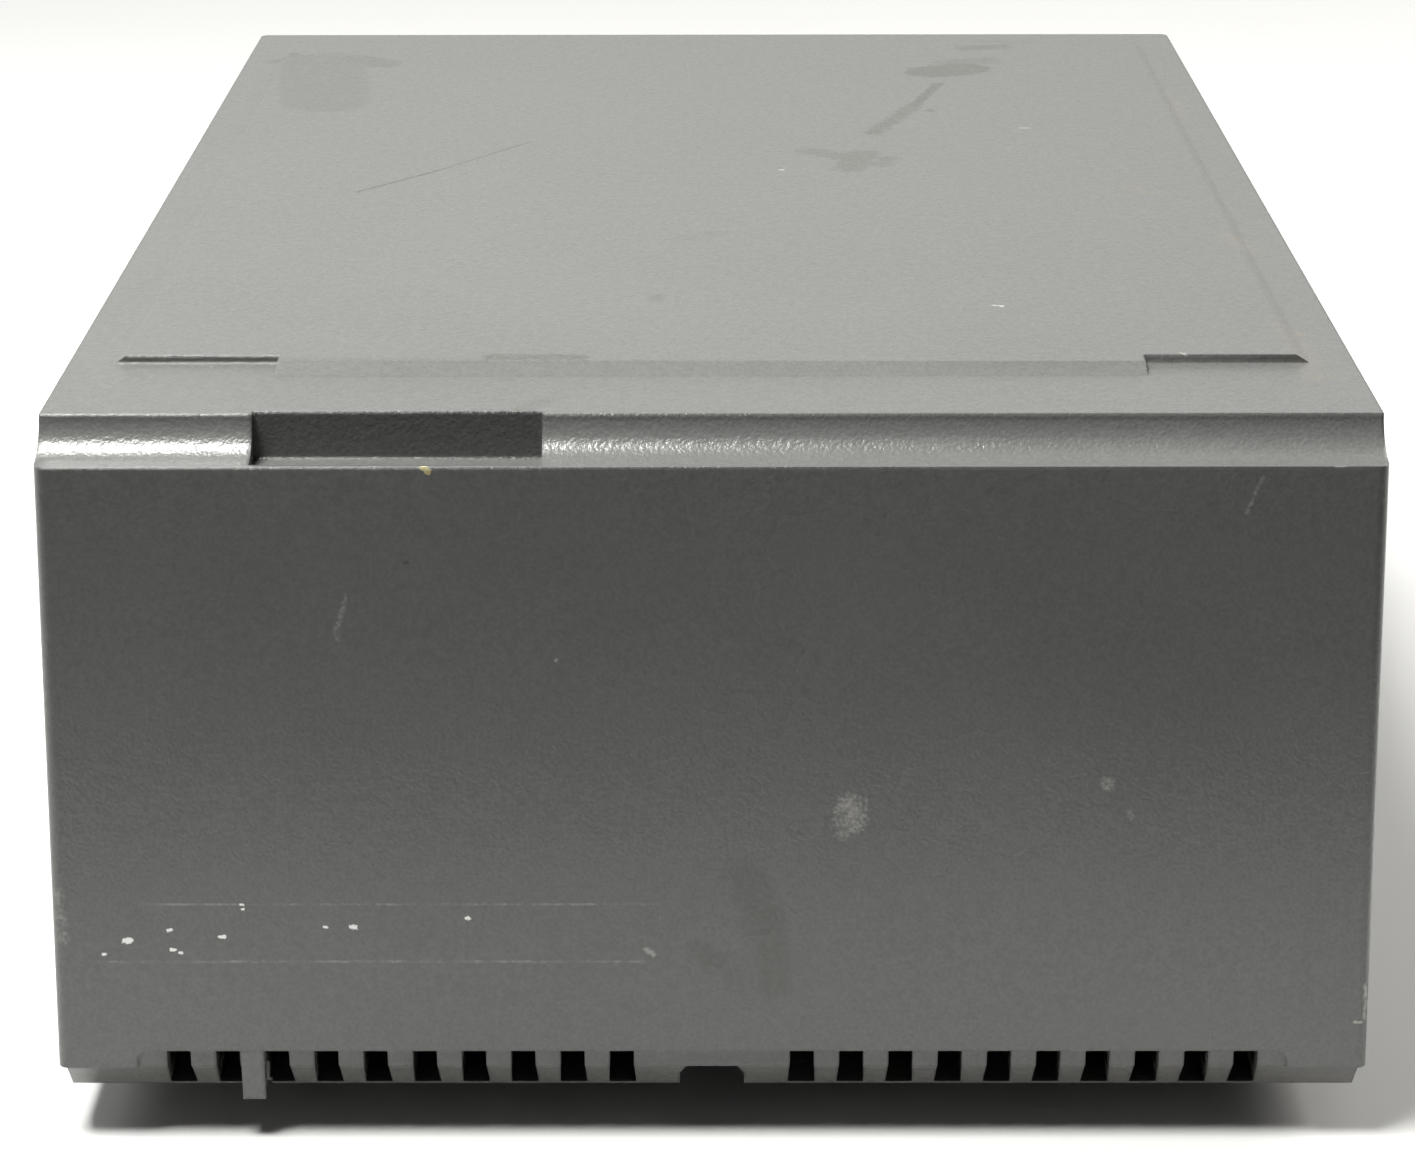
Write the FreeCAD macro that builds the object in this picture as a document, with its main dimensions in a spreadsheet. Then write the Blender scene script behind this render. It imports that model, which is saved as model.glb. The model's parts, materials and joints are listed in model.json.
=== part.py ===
import FreeCAD, Part
import math
import os
import re

import Sketcher

# Mains powered valve direct injection box. Millimetres, +Z up.
# Origin: centre of the enclosure, on the surface that the feet stand on.
# -Y is the blank vented end, +Y is the recessed connector panel.

V = FreeCAD.Vector
doc = FreeCAD.newDocument("direct_injection_box")

SIZES = {
    # Enclosure
    "cover_width": 150.0,
    "cover_depth": 211.0,
    "cover_height": 76.4,
    "cover_wall": 3.0,
    "draft": 1.25,
    "corner_radius": 1.2,
    "foot_height": 5.0,
    "lip_height": 4.0,
    "lip_inset": 0.85,
    "lip_wall": 2.5,
    "lip_bevel": 3.0,
    "floor_thick": 2.5,
    "tongue_thick": 2.0,
    "tongue_height": 6.0,
    "tongue_gap": 0.3,
    # Stacking plateau on the roof
    "plateau_height": 0.95,
    "plateau_side": 5.2,
    "plateau_slope": 1.5,
    "plateau_front": 24.3,
    "plateau_rear": 9.4,
    "apron_front": 19.2,
    "apron_half": 49.2,
    "apron_slope": 2.6,
    "apron_lap": 5.0,
    # Cove and badge recess along the front top edge
    "cove_radius": 4.9,
    "cove_out": 0.45,
    "cove_above": 0.55,
    "haunch_deep": 9.0,
    "haunch_drop": 8.5,
    "badge_middle": 34.25,
    "badge_wide": 31.7,
    "badge_back": 6.15,
    "badge_drop": 5.4,
    "badge_lip": 0.75,
    # Comb slots along the front lower edge
    "slot_first": 10.32,
    "slot_pitch": 5.645,
    "slot_wide": 2.75,
    "slot_flare": 0.35,
    "slot_rise": 2.15,
    "slot_run": 19.5,
    "slot_skin": 0.4,
    "relief_half": 65.8,
    "relief_rise": 2.05,
    "relief_deep": 0.5,
    "relief_corner": 0.9,
    "key_middle": 52.6,
    "key_wide": 2.64,
    "key_thick": 1.8,
    "key_gap": 0.25,
    "key_deep": 4.5,
    "notch_half": 3.7,
    "notch_top_half": 2.6,
    "notch_shoulder": 2.2,
    "notch_deep": 8.0,
    # Fasteners
    "thread_gap": 0.05,
    "hole_gap": 0.2,
    "screw_radius": 1.5,
    "head_radius": 2.8,
    "head_height": 1.8,
    "small_screw_radius": 1.2,
    "small_head_radius": 2.2,
    "small_head_height": 1.3,
    "post_radius": 4.0,
    "post_x": 62.0,
    "post_front": 27.5,
    "post_rear": 18.0,
    "post_base": 6.0,
    "post_base_height": 3.5,
    "counterbore": 3.0,
    "thread_depth": 10.0,
    "block_size": 10.0,
    "panel_screw_inset": 11.0,
    "panel_screw_rise": 6.0,
    "panel_screw_drop": 7.0,
    # Feet
    "foot_radius": 8.0,
    "foot_seat": 0.8,
    "foot_gap": 0.2,
    "foot_dimple_radius": 3.2,
    "foot_dimple": 0.6,
    "foot_x": 60.0,
    "foot_inset": 16.0,
    # Rear panel
    "rear_recess": 12.0,
    "panel_thick": 2.0,
    "panel_gap": 0.6,
    "hood_frame": 1.2,
    "cutout_gap": 0.2,
    "lower_row": 22.5,
    "upper_row": 55.5,
    "vent_wide": 2.4,
    "vent_tall": 6.0,
    "vent_pitch": 6.0,
    "vent_drop": 10.5,
    # Mains inlet and fuse drawer
    "inlet_x": 35.8,
    "inlet_wide": 50.0,
    "inlet_tall": 33.0,
    "inlet_flange": 3.0,
    "inlet_body_wide": 28.0,
    "inlet_body_tall": 30.0,
    "inlet_body_deep": 22.0,
    "inlet_screw_pitch": 40.0,
    "socket_wide": 24.0,
    "socket_tall": 16.5,
    "socket_rise": 4.6,
    "socket_deep": 17.0,
    "blade_wide": 2.0,
    "blade_tall": 4.0,
    "blade_pitch": 14.0,
    "blade_step": 2.0,
    "blade_short": 2.5,
    "tag_length": 7.0,
    "tag_thick": 0.8,
    "drawer_wide": 24.0,
    "drawer_tall": 7.5,
    "drawer_drop": 9.2,
    "drawer_deep": 18.0,
    "drawer_gap": 0.25,
    "drawer_face": 2.0,
    "drawer_face_over": 1.0,
    "drawer_back": 1.5,
    "drawer_web": 1.2,
    "drawer_side": 2.5,
    "drawer_grip": 1.2,
    "fuse_radius": 2.5,
    "fuse_long": 20.0,
    "fuse_cap": 4.5,
    "fuse_cap_wall": 0.2,
    "fuse_gap": 0.15,
    # Power switch
    "switch_flange_wide": 15.0,
    "switch_flange_tall": 21.0,
    "switch_flange": 1.6,
    "switch_wide": 12.8,
    "switch_tall": 19.0,
    "switch_deep": 14.0,
    "switch_tag_x": 3.5,
    "switch_tag_z": 5.0,
    "switch_tag_tall": 4.8,
    "rocker_half_wide": 5.0,
    "rocker_half_long": 7.6,
    "rocker_reach": 4.5,
    "rocker_dip": 1.2,
    "rocker_depth": 3.0,
    "rocker_side_gap": 0.25,
    "rocker_end_gap": 0.95,
    "rocker_tilt": 12.0,
    "pivot_sunk": 1.3,
    "pivot_radius": 1.0,
    "pivot_gap": 0.05,
    # Output connector
    "xlr_x": -4.0,
    "xlr_wide": 26.0,
    "xlr_tall": 31.0,
    "xlr_flange": 2.0,
    "xlr_corner": 3.0,
    "xlr_outer": 11.6,
    "xlr_inner": 9.7,
    "xlr_deep": 19.0,
    "xlr_screw_x": 9.5,
    "xlr_screw_z": 12.0,
    "insert_thick": 5.0,
    "insert_back": 2.0,
    "pin_circle": 4.7,
    "pin_radius": 1.2,
    "pin_front": 11.0,
    "pin_back": 5.0,
    # Jacks
    "link_x": -49.0,
    "input_x": -27.0,
    "jack_wide": 15.0,
    "jack_tall": 14.0,
    "jack_deep": 24.0,
    "jack_wall": 2.0,
    "jack_bore": 3.25,
    "bush_radius": 4.7,
    "bush_out": 6.0,
    "nut_flats": 13.0,
    "nut_thick": 2.5,
    "contact_thick": 0.5,
    "contact_wide": 3.0,
    # Slide switches
    "pad_x": -4.0,
    "lift_x": -29.0,
    "polarity_x": -54.0,
    "knob_wide": 4.0,
    "knob_tall": 4.4,
    "knob_out": 3.0,
    "throw": 4.0,
    "slider_wide": 8.0,
    "slider_tall": 5.6,
    "slider_thick": 2.4,
    "slide_gap": 0.3,
    "slide_case_wall": 1.0,
    "slide_case_deep": 8.0,
    "slide_ear": 4.0,
    "slide_ear_thick": 0.8,
    # Lamp and earth screw
    "lamp_x": 14.0,
    "lamp_radius": 2.5,
    "bezel_radius": 4.2,
    "bezel_tube": 3.1,
    "bezel_flange": 1.4,
    "bezel_deep": 6.0,
    "lamp_out": 1.2,
    "lamp_wire_radius": 0.25,
    "lamp_wire_long": 6.0,
    "lamp_wire_x": 1.27,
    "earth_x": 65.0,
    "earth_up": 41.0,
    "earth_radius": 2.0,
    "earth_long": 12.0,
    "earth_head": 3.8,
    "earth_nut": 7.0,
    "earth_nut_thick": 3.0,
    "ring_radius": 3.6,
    "ring_thick": 1.0,
    "ring_neck": 3.0,
    # Circuit board and what stands on it
    "board_left": -56.0,
    "board_right": 6.0,
    "board_front": -84.0,
    "board_rear": 78.0,
    "board_thick": 1.6,
    "board_up": 8.0,
    "board_inset": 5.0,
    "board_screw_down": 5.0,
    "standoff_radius": 3.5,
    "valve_x": -28.0,
    "valve_y": -8.0,
    "valve_radius": 10.5,
    "valve_tall": 45.0,
    "valve_wall": 1.0,
    "valve_tip": 3.0,
    "valve_pin_circle": 5.9,
    "valve_pin_radius": 0.5,
    "socket_radius": 11.5,
    "socket_high": 9.0,
    "valve_pin_down": 7.0,
    "valve_pin_gap": 0.1,
    "valve_pin_up": 4.0,
    "anode_wide": 7.0,
    "anode_deep": 5.0,
    "anode_tall": 26.0,
    "mica_radius": 9.0,
    "mica_thick": 0.4,
    "getter_radius": 0.6,
    "getter_tall": 3.0,
    "capacitor_radius": 8.0,
    "capacitor_tall": 32.0,
    "capacitor_x": -46.0,
    "capacitor_y": -62.0,
    "capacitor_pitch": 17.5,
    "film_wide": 7.0,
    "film_deep": 18.0,
    "film_tall": 13.0,
    "film_x": -48.0,
    "film_y": 12.0,
    "film_pitch": 10.0,
    "resistor_radius": 1.6,
    "resistor_long": 8.0,
    "resistor_lead": 0.35,
    "resistor_up": 2.1,
    "resistor_x": -12.0,
    "resistor_y": -34.0,
    "resistor_pitch": 5.0,
    "can_radius": 12.0,
    "can_tall": 27.0,
    "can_x": -10.0,
    "can_y": 34.0,
    "bridge_wide": 15.0,
    "bridge_deep": 4.0,
    "bridge_tall": 11.0,
    "bridge_x": -40.0,
    "bridge_y": -42.0,
    "connector_wide": 12.0,
    "connector_deep": 6.0,
    "connector_tall": 8.0,
    "plug_in_x": -42.0,
    "plug_in_y": 46.0,
    "plug_out_x": -14.0,
    "plug_out_y": 56.0,
    "plug_power_x": -8.0,
    "plug_power_y": -78.0,
    "sink_wide": 22.0,
    "sink_tall": 26.0,
    "sink_web": 2.0,
    "sink_fin": 6.0,
    "sink_x": -8.0,
    "sink_y": -60.0,
    "sink_fin_thick": 1.2,
    "sink_fin_pitch": 5.5,
    "regulator_wide": 10.0,
    "regulator_thick": 4.5,
    "regulator_tall": 15.0,
    "regulator_up": 5.0,
    "regulator_leg_wide": 0.8,
    "regulator_leg_thick": 0.5,
    "regulator_leg_pitch": 2.54,
    # Mains transformer
    "core_x": 37.0,
    "core_y": -45.0,
    "core_module": 8.0,
    "core_stack": 18.0,
    "core_up": 2.0,
    "bobbin_gap": 0.3,
    "bobbin_wall": 1.2,
    "strap_thick": 1.0,
    "strap_foot": 10.0,
    "strap_inset": 2.0,
    "strap_screw_down": 3.2,
    "coil_gap": 0.5,
    # Leads
    "lead_radius": 0.9,
    "earth_lead_radius": 1.1,
}

SLOTS_PER_SIDE = 10
VENTS_LEFT = 7
VENTS_RIGHT = 4
VALVE_PINS = 9
SINK_FINS = 5
RESISTORS = 6
FILTER_CAPACITORS = 2
FILM_CAPACITORS = 3

# Places that several pieces share, as expressions of the sizes
FRONT = "(0 - cover_depth / 2)"
REAR = "(cover_depth / 2)"
EDGE = "(foot_height + lip_height)"
RIM = "(foot_height + lip_height + cover_height)"
ROOF = "(foot_height + lip_height + cover_height - cover_wall)"
FLOOR = "(foot_height + floor_thick)"
FRONT_TOP = "(0 - cover_depth / 2 + cover_height * tan(draft))"
REAR_TOP = "(cover_depth / 2 - cover_height * tan(draft))"
HALF_TOP = "(cover_width / 2 - cover_height * tan(draft))"
PANEL_OUT = "(cover_depth / 2 - rear_recess)"
PANEL_IN = "(cover_depth / 2 - rear_recess - panel_thick)"
LOWER = "(foot_height + floor_thick + lower_row)"
UPPER = "(foot_height + floor_thick + upper_row)"
BOARD = "(foot_height + floor_thick + board_up)"
BOARD_TOP = "(foot_height + floor_thick + board_up + board_thick)"
POST_FRONT = "(0 - cover_depth / 2 + post_front)"
POST_REAR = "(cover_depth / 2 - rear_recess - panel_thick - post_rear)"
POST_BASE = "(foot_height + floor_thick + post_base_height)"
PANEL_SCREW_X = "(cover_width / 2 - panel_screw_inset)"
BLOCK_BACK = "(cover_depth / 2 - rear_recess - panel_thick - block_size)"
LOW_SCREW = "(foot_height + floor_thick + panel_screw_rise)"
HIGH_SCREW = "(foot_height + lip_height + cover_height - cover_wall - panel_screw_drop)"
CORE_LOW = "(foot_height + floor_thick + core_up)"
CORE_HALF = "(core_module * 3)"
CORE_TALL = "(core_module * 5)"
STRAP_HOLE = "(core_module * 3 + strap_thick + strap_foot / 2)"
SOCKET_TOP = "(foot_height + floor_thick + board_up + board_thick + socket_high)"

NODES = {}


# ---------------------------------------------------------------- the sheet

def make_sheet():
    sheet = doc.addObject("Spreadsheet::Sheet", "sizes")
    for row, (name, value) in enumerate(SIZES.items(), start=1):
        sheet.set(f"A{row}", name)
        sheet.set(f"B{row}", repr(value))
        sheet.setAlias(f"B{row}", name)
    doc.recompute()
    return sheet


def ex(text):
    """The expression with each size's name pointed at the sheet."""
    words = r"[a-z][a-z_0-9]*"
    return re.sub(words, lambda w: "sizes." + w[0] if w[0] in SIZES else w[0], str(text))


def size(text):
    """What an expression of the sizes comes to, as a number."""
    return float(sheet.evalExpression(ex(text)))


def bind(thing, **links):
    for name, text in links.items():
        thing.setExpression(name, ex(text))


def put(thing, x="0", y="0", z="0"):
    for letter, text in zip("xyz", (x, y, z)):
        thing.setExpression(f"Placement.Base.{letter}", ex(text))
    return thing


def node(name, thing):
    """Names a finished sub-part, which is also the name of its file."""
    thing.Label = name
    NODES[name] = thing
    return thing


# ------------------------------------------------------- primitive shapes

def block(name, x, y, z):
    """A box between two expressions along each axis."""
    thing = doc.addObject("Part::Box", name)
    bind(thing, Length=f"{x[1]} - ({x[0]})", Width=f"{y[1]} - ({y[0]})", Height=f"{z[1]} - ({z[0]})")
    return put(thing, x[0], y[0], z[0])


def block_at(name, x, wide, y, z):
    """A box centred across X, between two expressions along Y and Z."""
    return block(name, (f"{x} - ({wide}) / 2", f"{x} + ({wide}) / 2"), y, z)


AXES = {
    "X": FreeCAD.Rotation(V(0, 1, 0), 90),
    "Y": FreeCAD.Rotation(V(1, 0, 0), -90),
    "Z": FreeCAD.Rotation(),
}


def rod(name, axis, radius, length, x, y, z):
    """A cylinder that starts at a point and runs along +X, +Y or +Z."""
    thing = doc.addObject("Part::Cylinder", name)
    bind(thing, Radius=radius, Height=length)
    thing.Placement = FreeCAD.Placement(V(), AXES[axis])
    return put(thing, x, y, z)


def prism(name, axis, flats, length, x, y, z):
    """A hexagonal bar across its flats, along +X, +Y or +Z."""
    thing = doc.addObject("Part::Prism", name)
    thing.Polygon = 6
    bind(thing, Circumradius=f"({flats}) / 2 / cos(30)", Height=length)
    thing.Placement = FreeCAD.Placement(V(), AXES[axis])
    return put(thing, x, y, z)


def joined(name, pieces):
    thing = doc.addObject("Part::MultiFuse", name)
    thing.Shapes = pieces
    return thing


def cut(name, base, tools):
    thing = doc.addObject("Part::Cut", name)
    thing.Base = base
    thing.Tool = tools[0] if len(tools) == 1 else joined(name + "_tools", tools)
    return thing


def group(name, pieces):
    """Separate solids that share one sub-part."""
    thing = doc.addObject("Part::Compound", name)
    thing.Links = pieces
    return thing


def screw(name, axis, x, y, z, long, radius="screw_radius", head="head_radius", high="head_height"):
    """A pan head screw; its head seats at the point, outwards, and its shank runs the other way."""
    if axis == "Y":
        top = rod(name + "_head", "Y", head, high, x, y, z)
        shank = rod(name + "_shank", "Y", radius, long, x, f"{y} - ({long})", z)
    else:
        top = rod(name + "_head", "Z", head, high, x, y, f"{z} - {high}")
        shank = rod(name + "_shank", "Z", radius, long, x, y, z)
    return joined(name, [top, shank])


# ------------------------------------------------ sketches and pad features

def make_body(name):
    return doc.addObject("PartDesign::Body", name)


def sketch(body, name, role, offset="0"):
    thing = body.newObject("Sketcher::SketchObject", name)
    plane = next(item for item in body.Origin.OriginFeatures if item.Role == role)
    thing.AttachmentSupport = [(plane, "")]
    thing.MapMode = "FlatFace"
    thing.setExpression(".AttachmentOffset.Base.z", ex(offset))
    return thing


def pin_point(thing, geometry, end, x, y):
    for kind, text in (("DistanceX", x), ("DistanceY", y)):
        place = thing.addConstraint(Sketcher.Constraint(kind, -1, 1, geometry, end, 1.0))
        thing.setExpression(f"Constraints[{place}]", ex(text))


def polygon(thing, corners):
    """A closed outline through corners, each a pair of expressions, in order."""
    first = thing.GeometryCount
    count = len(corners)
    for number in range(count):
        ends = []
        for corner in (number, (number + 1) % count):
            turn = 2 * math.pi * corner / count
            ends.append(V(math.cos(turn), math.sin(turn), 0))
        thing.addGeometry(Part.LineSegment(*ends))
    for number in range(count):
        following = first + (number + 1) % count
        thing.addConstraint(Sketcher.Constraint("Coincident", first + number, 2, following, 1))
    for number, (x, y) in enumerate(corners):
        pin_point(thing, first + number, 1, x, y)


def rectangle(thing, left, right, low, high):
    polygon(thing, [(left, low), (right, low), (right, high), (left, high)])


def rectangle_at(thing, x, wide, y, tall):
    left = f"{x} - ({wide}) / 2"
    right = f"{x} + ({wide}) / 2"
    rectangle(thing, left, right, f"{y} - ({tall}) / 2", f"{y} + ({tall}) / 2")


def circle(thing, x, y, radius):
    number = thing.addGeometry(Part.Circle(V(), V(0, 0, 1), 1.0))
    pin_point(thing, number, 3, x, y)
    place = thing.addConstraint(Sketcher.Constraint("Radius", number, 1.0))
    thing.setExpression(f"Constraints[{place}]", ex(radius))


def feature(body, kind, name, profile, length, reverse=False, both=False):
    thing = body.newObject("PartDesign::" + kind, name)
    thing.Profile = profile
    thing.Reversed = reverse
    if both:
        thing.SideType = "Symmetric"
    thing.setExpression("Length", ex(length))
    profile.Visibility = False
    return thing


def pad(body, name, profile, length, **options):
    return feature(body, "Pad", name, profile, length, **options)


def pocket(body, name, profile, length, **options):
    return feature(body, "Pocket", name, profile, length, **options)


def faces_facing(thing, directions, low, high):
    """Names of the flat faces that face any of the directions and lie between two heights."""
    found = []
    for number, face in enumerate(thing.Shape.Faces, start=1):
        box = face.BoundBox
        if not isinstance(face.Surface, Part.Plane) or box.ZMin < low or box.ZMax > high:
            continue
        normal = face.normalAt(0, 0)
        if any(normal.dot(direction) > 0.99 for direction in directions):
            found.append(f"Face{number}")
    return found


def upright_edges(thing, low, high):
    """Names of the straight edges that climb the whole way between two heights."""
    found = []
    for number, edge in enumerate(thing.Shape.Edges, start=1):
        box = edge.BoundBox
        if abs(box.ZMin - low) < 0.01 and abs(box.ZMax - high) < 0.01:
            found.append(f"Edge{number}")
    return found


def draft_faces(body, name, base, faces, neutral, angle):
    thing = body.newObject("PartDesign::Draft", name)
    thing.Base = (base, faces)
    thing.NeutralPlane = (base, neutral)
    thing.setExpression("Angle", ex(angle))
    doc.recompute()
    return thing


def comb_slots(thing, low, high, low_more="0", high_more="0"):
    """Both rows of slot outlines, each one wider at the bottom where low_more is given."""
    for side in (-1, 1):
        for number in range(SLOTS_PER_SIDE):
            middle = f"{side} * (slot_first + {number} * slot_pitch)"
            half_low = f"(slot_wide + {low_more}) / 2"
            half_high = f"(slot_wide + {high_more}) / 2"
            polygon(thing, [
                (f"{middle} - {half_low}", low),
                (f"{middle} + {half_low}", low),
                (f"{middle} + {half_high}", high),
                (f"{middle} - {half_high}", high),
            ])


# ------------------------------------------------------------- enclosure

def make_top_cover():
    body = make_body("top_cover")

    outline = sketch(body, "cover_outline", "XY_Plane", EDGE)
    rectangle(outline, "0 - cover_width / 2", "cover_width / 2", FRONT, REAR)
    shell = pad(body, "cover_block", outline, "cover_height")
    doc.recompute()
    low, high = size(EDGE), size(RIM)
    sides = (V(1, 0, 0), V(-1, 0, 0), V(0, 1, 0), V(0, -1, 0))
    under = faces_facing(shell, [V(0, 0, -1)], low - 1, low + 1)
    walls = faces_facing(shell, sides, low - 1, high + 1)
    leaning = draft_faces(body, "cover_draft", shell, walls, under, "draft")
    rounded = body.newObject("PartDesign::Fillet", "cover_corners")
    rounded.Base = (leaning, upright_edges(leaning, low, high))
    rounded.setExpression("Radius", ex("corner_radius"))
    doc.recompute()

    # Stacking plateau, with an apron that runs further forward in the middle
    half = f"({HALF_TOP} - plateau_side)"
    field = sketch(body, "plateau_outline", "XY_Plane", RIM)
    rectangle(field, f"0 - {half}", half, f"{FRONT_TOP} + plateau_front", f"{REAR_TOP} - plateau_rear")
    plateau = pad(body, "plateau", field, "plateau_height")
    doc.recompute()
    edges = faces_facing(plateau, (V(1, 0, 0), V(-1, 0, 0), V(0, 1, 0)), high - 0.01, high + 50)
    rim_face = faces_facing(plateau, [V(0, 0, 1)], high - 0.01, high + 0.01)
    draft_faces(body, "plateau_slopes", plateau, edges, rim_face, "atan(plateau_slope / plateau_height)")

    wedge = sketch(body, "apron_outline", "YZ_Plane")
    start = f"({FRONT_TOP} + apron_front)"
    polygon(wedge, [
        (start, RIM),
        (f"{FRONT_TOP} + plateau_front + apron_lap", RIM),
        (f"{FRONT_TOP} + plateau_front + apron_lap", f"{RIM} + plateau_height"),
        (f"{start} + apron_slope", f"{RIM} + plateau_height"),
    ])
    pad(body, "apron", wedge, "apron_half * 2", both=True)

    # Hollow inside, with a haunch that keeps its wall behind the cove and the badge recess
    hollow = sketch(body, "hollow_outline", "XY_Plane", EDGE)
    inner = "(cover_width / 2 - cover_wall)"
    rectangle(hollow, f"0 - {inner}", inner, f"{FRONT} + cover_wall", f"{REAR} - cover_wall")
    room = pocket(body, "hollow", hollow, "cover_height - cover_wall", reverse=True)
    room.setExpression("TaperAngle", ex("0 - draft"))
    haunch = sketch(body, "haunch_outline", "YZ_Plane")
    rectangle(haunch, f"{FRONT_TOP} + cover_wall - 1", f"{FRONT_TOP} + haunch_deep",
              f"{RIM} - haunch_drop", f"{ROOF} + 1")
    pad(body, "haunch", haunch, f"({HALF_TOP} - cover_wall + 1) * 2", both=True)
    window = sketch(body, "rear_window_outline", "XZ_Plane", "0 - cover_depth / 2 - 1")
    window_top = "(cover_height - cover_wall - hood_frame)"
    low_half = "(cover_width / 2 - cover_wall - hood_frame)"
    high_half = f"({low_half} - {window_top} * tan(draft))"
    polygon(window, [
        (f"0 - {low_half}", f"{EDGE} - 1"),
        (low_half, f"{EDGE} - 1"),
        (high_half, f"{EDGE} + {window_top}"),
        (f"0 - {high_half}", f"{EDGE} + {window_top}"),
    ])
    pocket(body, "rear_window", window, "cover_wall + 4", reverse=True)

    # Cove along the front top edge, and the badge recess behind it
    round_cut = sketch(body, "cove_outline", "YZ_Plane")
    circle(round_cut, f"{FRONT_TOP} + cove_out", f"{RIM} + cove_above", "cove_radius")
    pocket(body, "cove", round_cut, "cover_width * 2", both=True)
    badge = sketch(body, "badge_outline", "XY_Plane", f"{RIM} + 1")
    rectangle(badge, "0 - badge_middle - badge_wide / 2", "0 - badge_middle + badge_wide / 2",
              f"{FRONT_TOP} + badge_lip", f"{FRONT_TOP} + badge_back")
    pocket(body, "badge_recess", badge, "badge_drop + 1")

    # Shallow relief band, comb slots and the long keying tab at the lower front edge
    band = sketch(body, "relief_outline", "XZ_Plane", "cover_depth / 2 - relief_deep")
    polygon(band, [
        ("0 - relief_half", f"{EDGE} - 1"),
        ("relief_half", f"{EDGE} - 1"),
        ("relief_half", f"{EDGE} + relief_rise - relief_corner"),
        ("relief_half - relief_corner", f"{EDGE} + relief_rise"),
        ("relief_corner - relief_half", f"{EDGE} + relief_rise"),
        ("0 - relief_half", f"{EDGE} + relief_rise - relief_corner"),
    ])
    pocket(body, "relief_band", band, "relief_deep + 1", reverse=True)
    slots = sketch(body, "cover_slots_outline", "XZ_Plane", "cover_depth / 2 + 1")
    comb_slots(slots, f"{EDGE} - 1", f"{EDGE} + slot_rise")
    pocket(body, "cover_slots", slots, "cover_wall + 2")
    key = sketch(body, "key_outline", "XZ_Plane", "cover_depth / 2")
    rectangle(key, "0 - key_middle - key_wide / 2", "0 - key_middle + key_wide / 2",
              "foot_height", f"{EDGE} + slot_rise")
    pad(body, "keying_tab", key, "key_thick", reverse=True)

    # Screw posts from the roof down to the base, and blocks for the panel's upper screws
    posts = sketch(body, "posts_outline", "XY_Plane", POST_BASE)
    for side in ("post_x", "(0 - post_x)"):
        for row in (POST_FRONT, POST_REAR):
            circle(posts, side, row, "post_radius")
    pad(body, "posts", posts, f"{ROOF} + 1 - {POST_BASE}")
    blocks = sketch(body, "upper_blocks_outline", "XY_Plane", f"{HIGH_SCREW} - panel_screw_drop")
    for side in ("1", "-1"):
        near = f"{side} * ({PANEL_SCREW_X} - block_size / 2)"
        far = f"{side} * ({HALF_TOP} - cover_wall + 1)"
        rectangle(blocks, near, far, BLOCK_BACK, PANEL_IN)
    pad(body, "upper_blocks", blocks, "panel_screw_drop * 2 + 1")
    bores = sketch(body, "post_bores_outline", "XY_Plane", f"{POST_BASE} - 1")
    for side in ("post_x", "(0 - post_x)"):
        for row in (POST_FRONT, POST_REAR):
            circle(bores, side, row, "screw_radius + thread_gap")
    pocket(body, "post_bores", bores, "thread_depth + 2", reverse=True)
    holes = sketch(body, "block_bores_outline", "XZ_Plane", f"0 - {PANEL_IN} - 1")
    for side in ("1", "-1"):
        circle(holes, f"{side} * {PANEL_SCREW_X}", HIGH_SCREW, "screw_radius + thread_gap")
    pocket(body, "block_bores", holes, "block_size", reverse=True)
    return node("top_cover", body)


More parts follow.
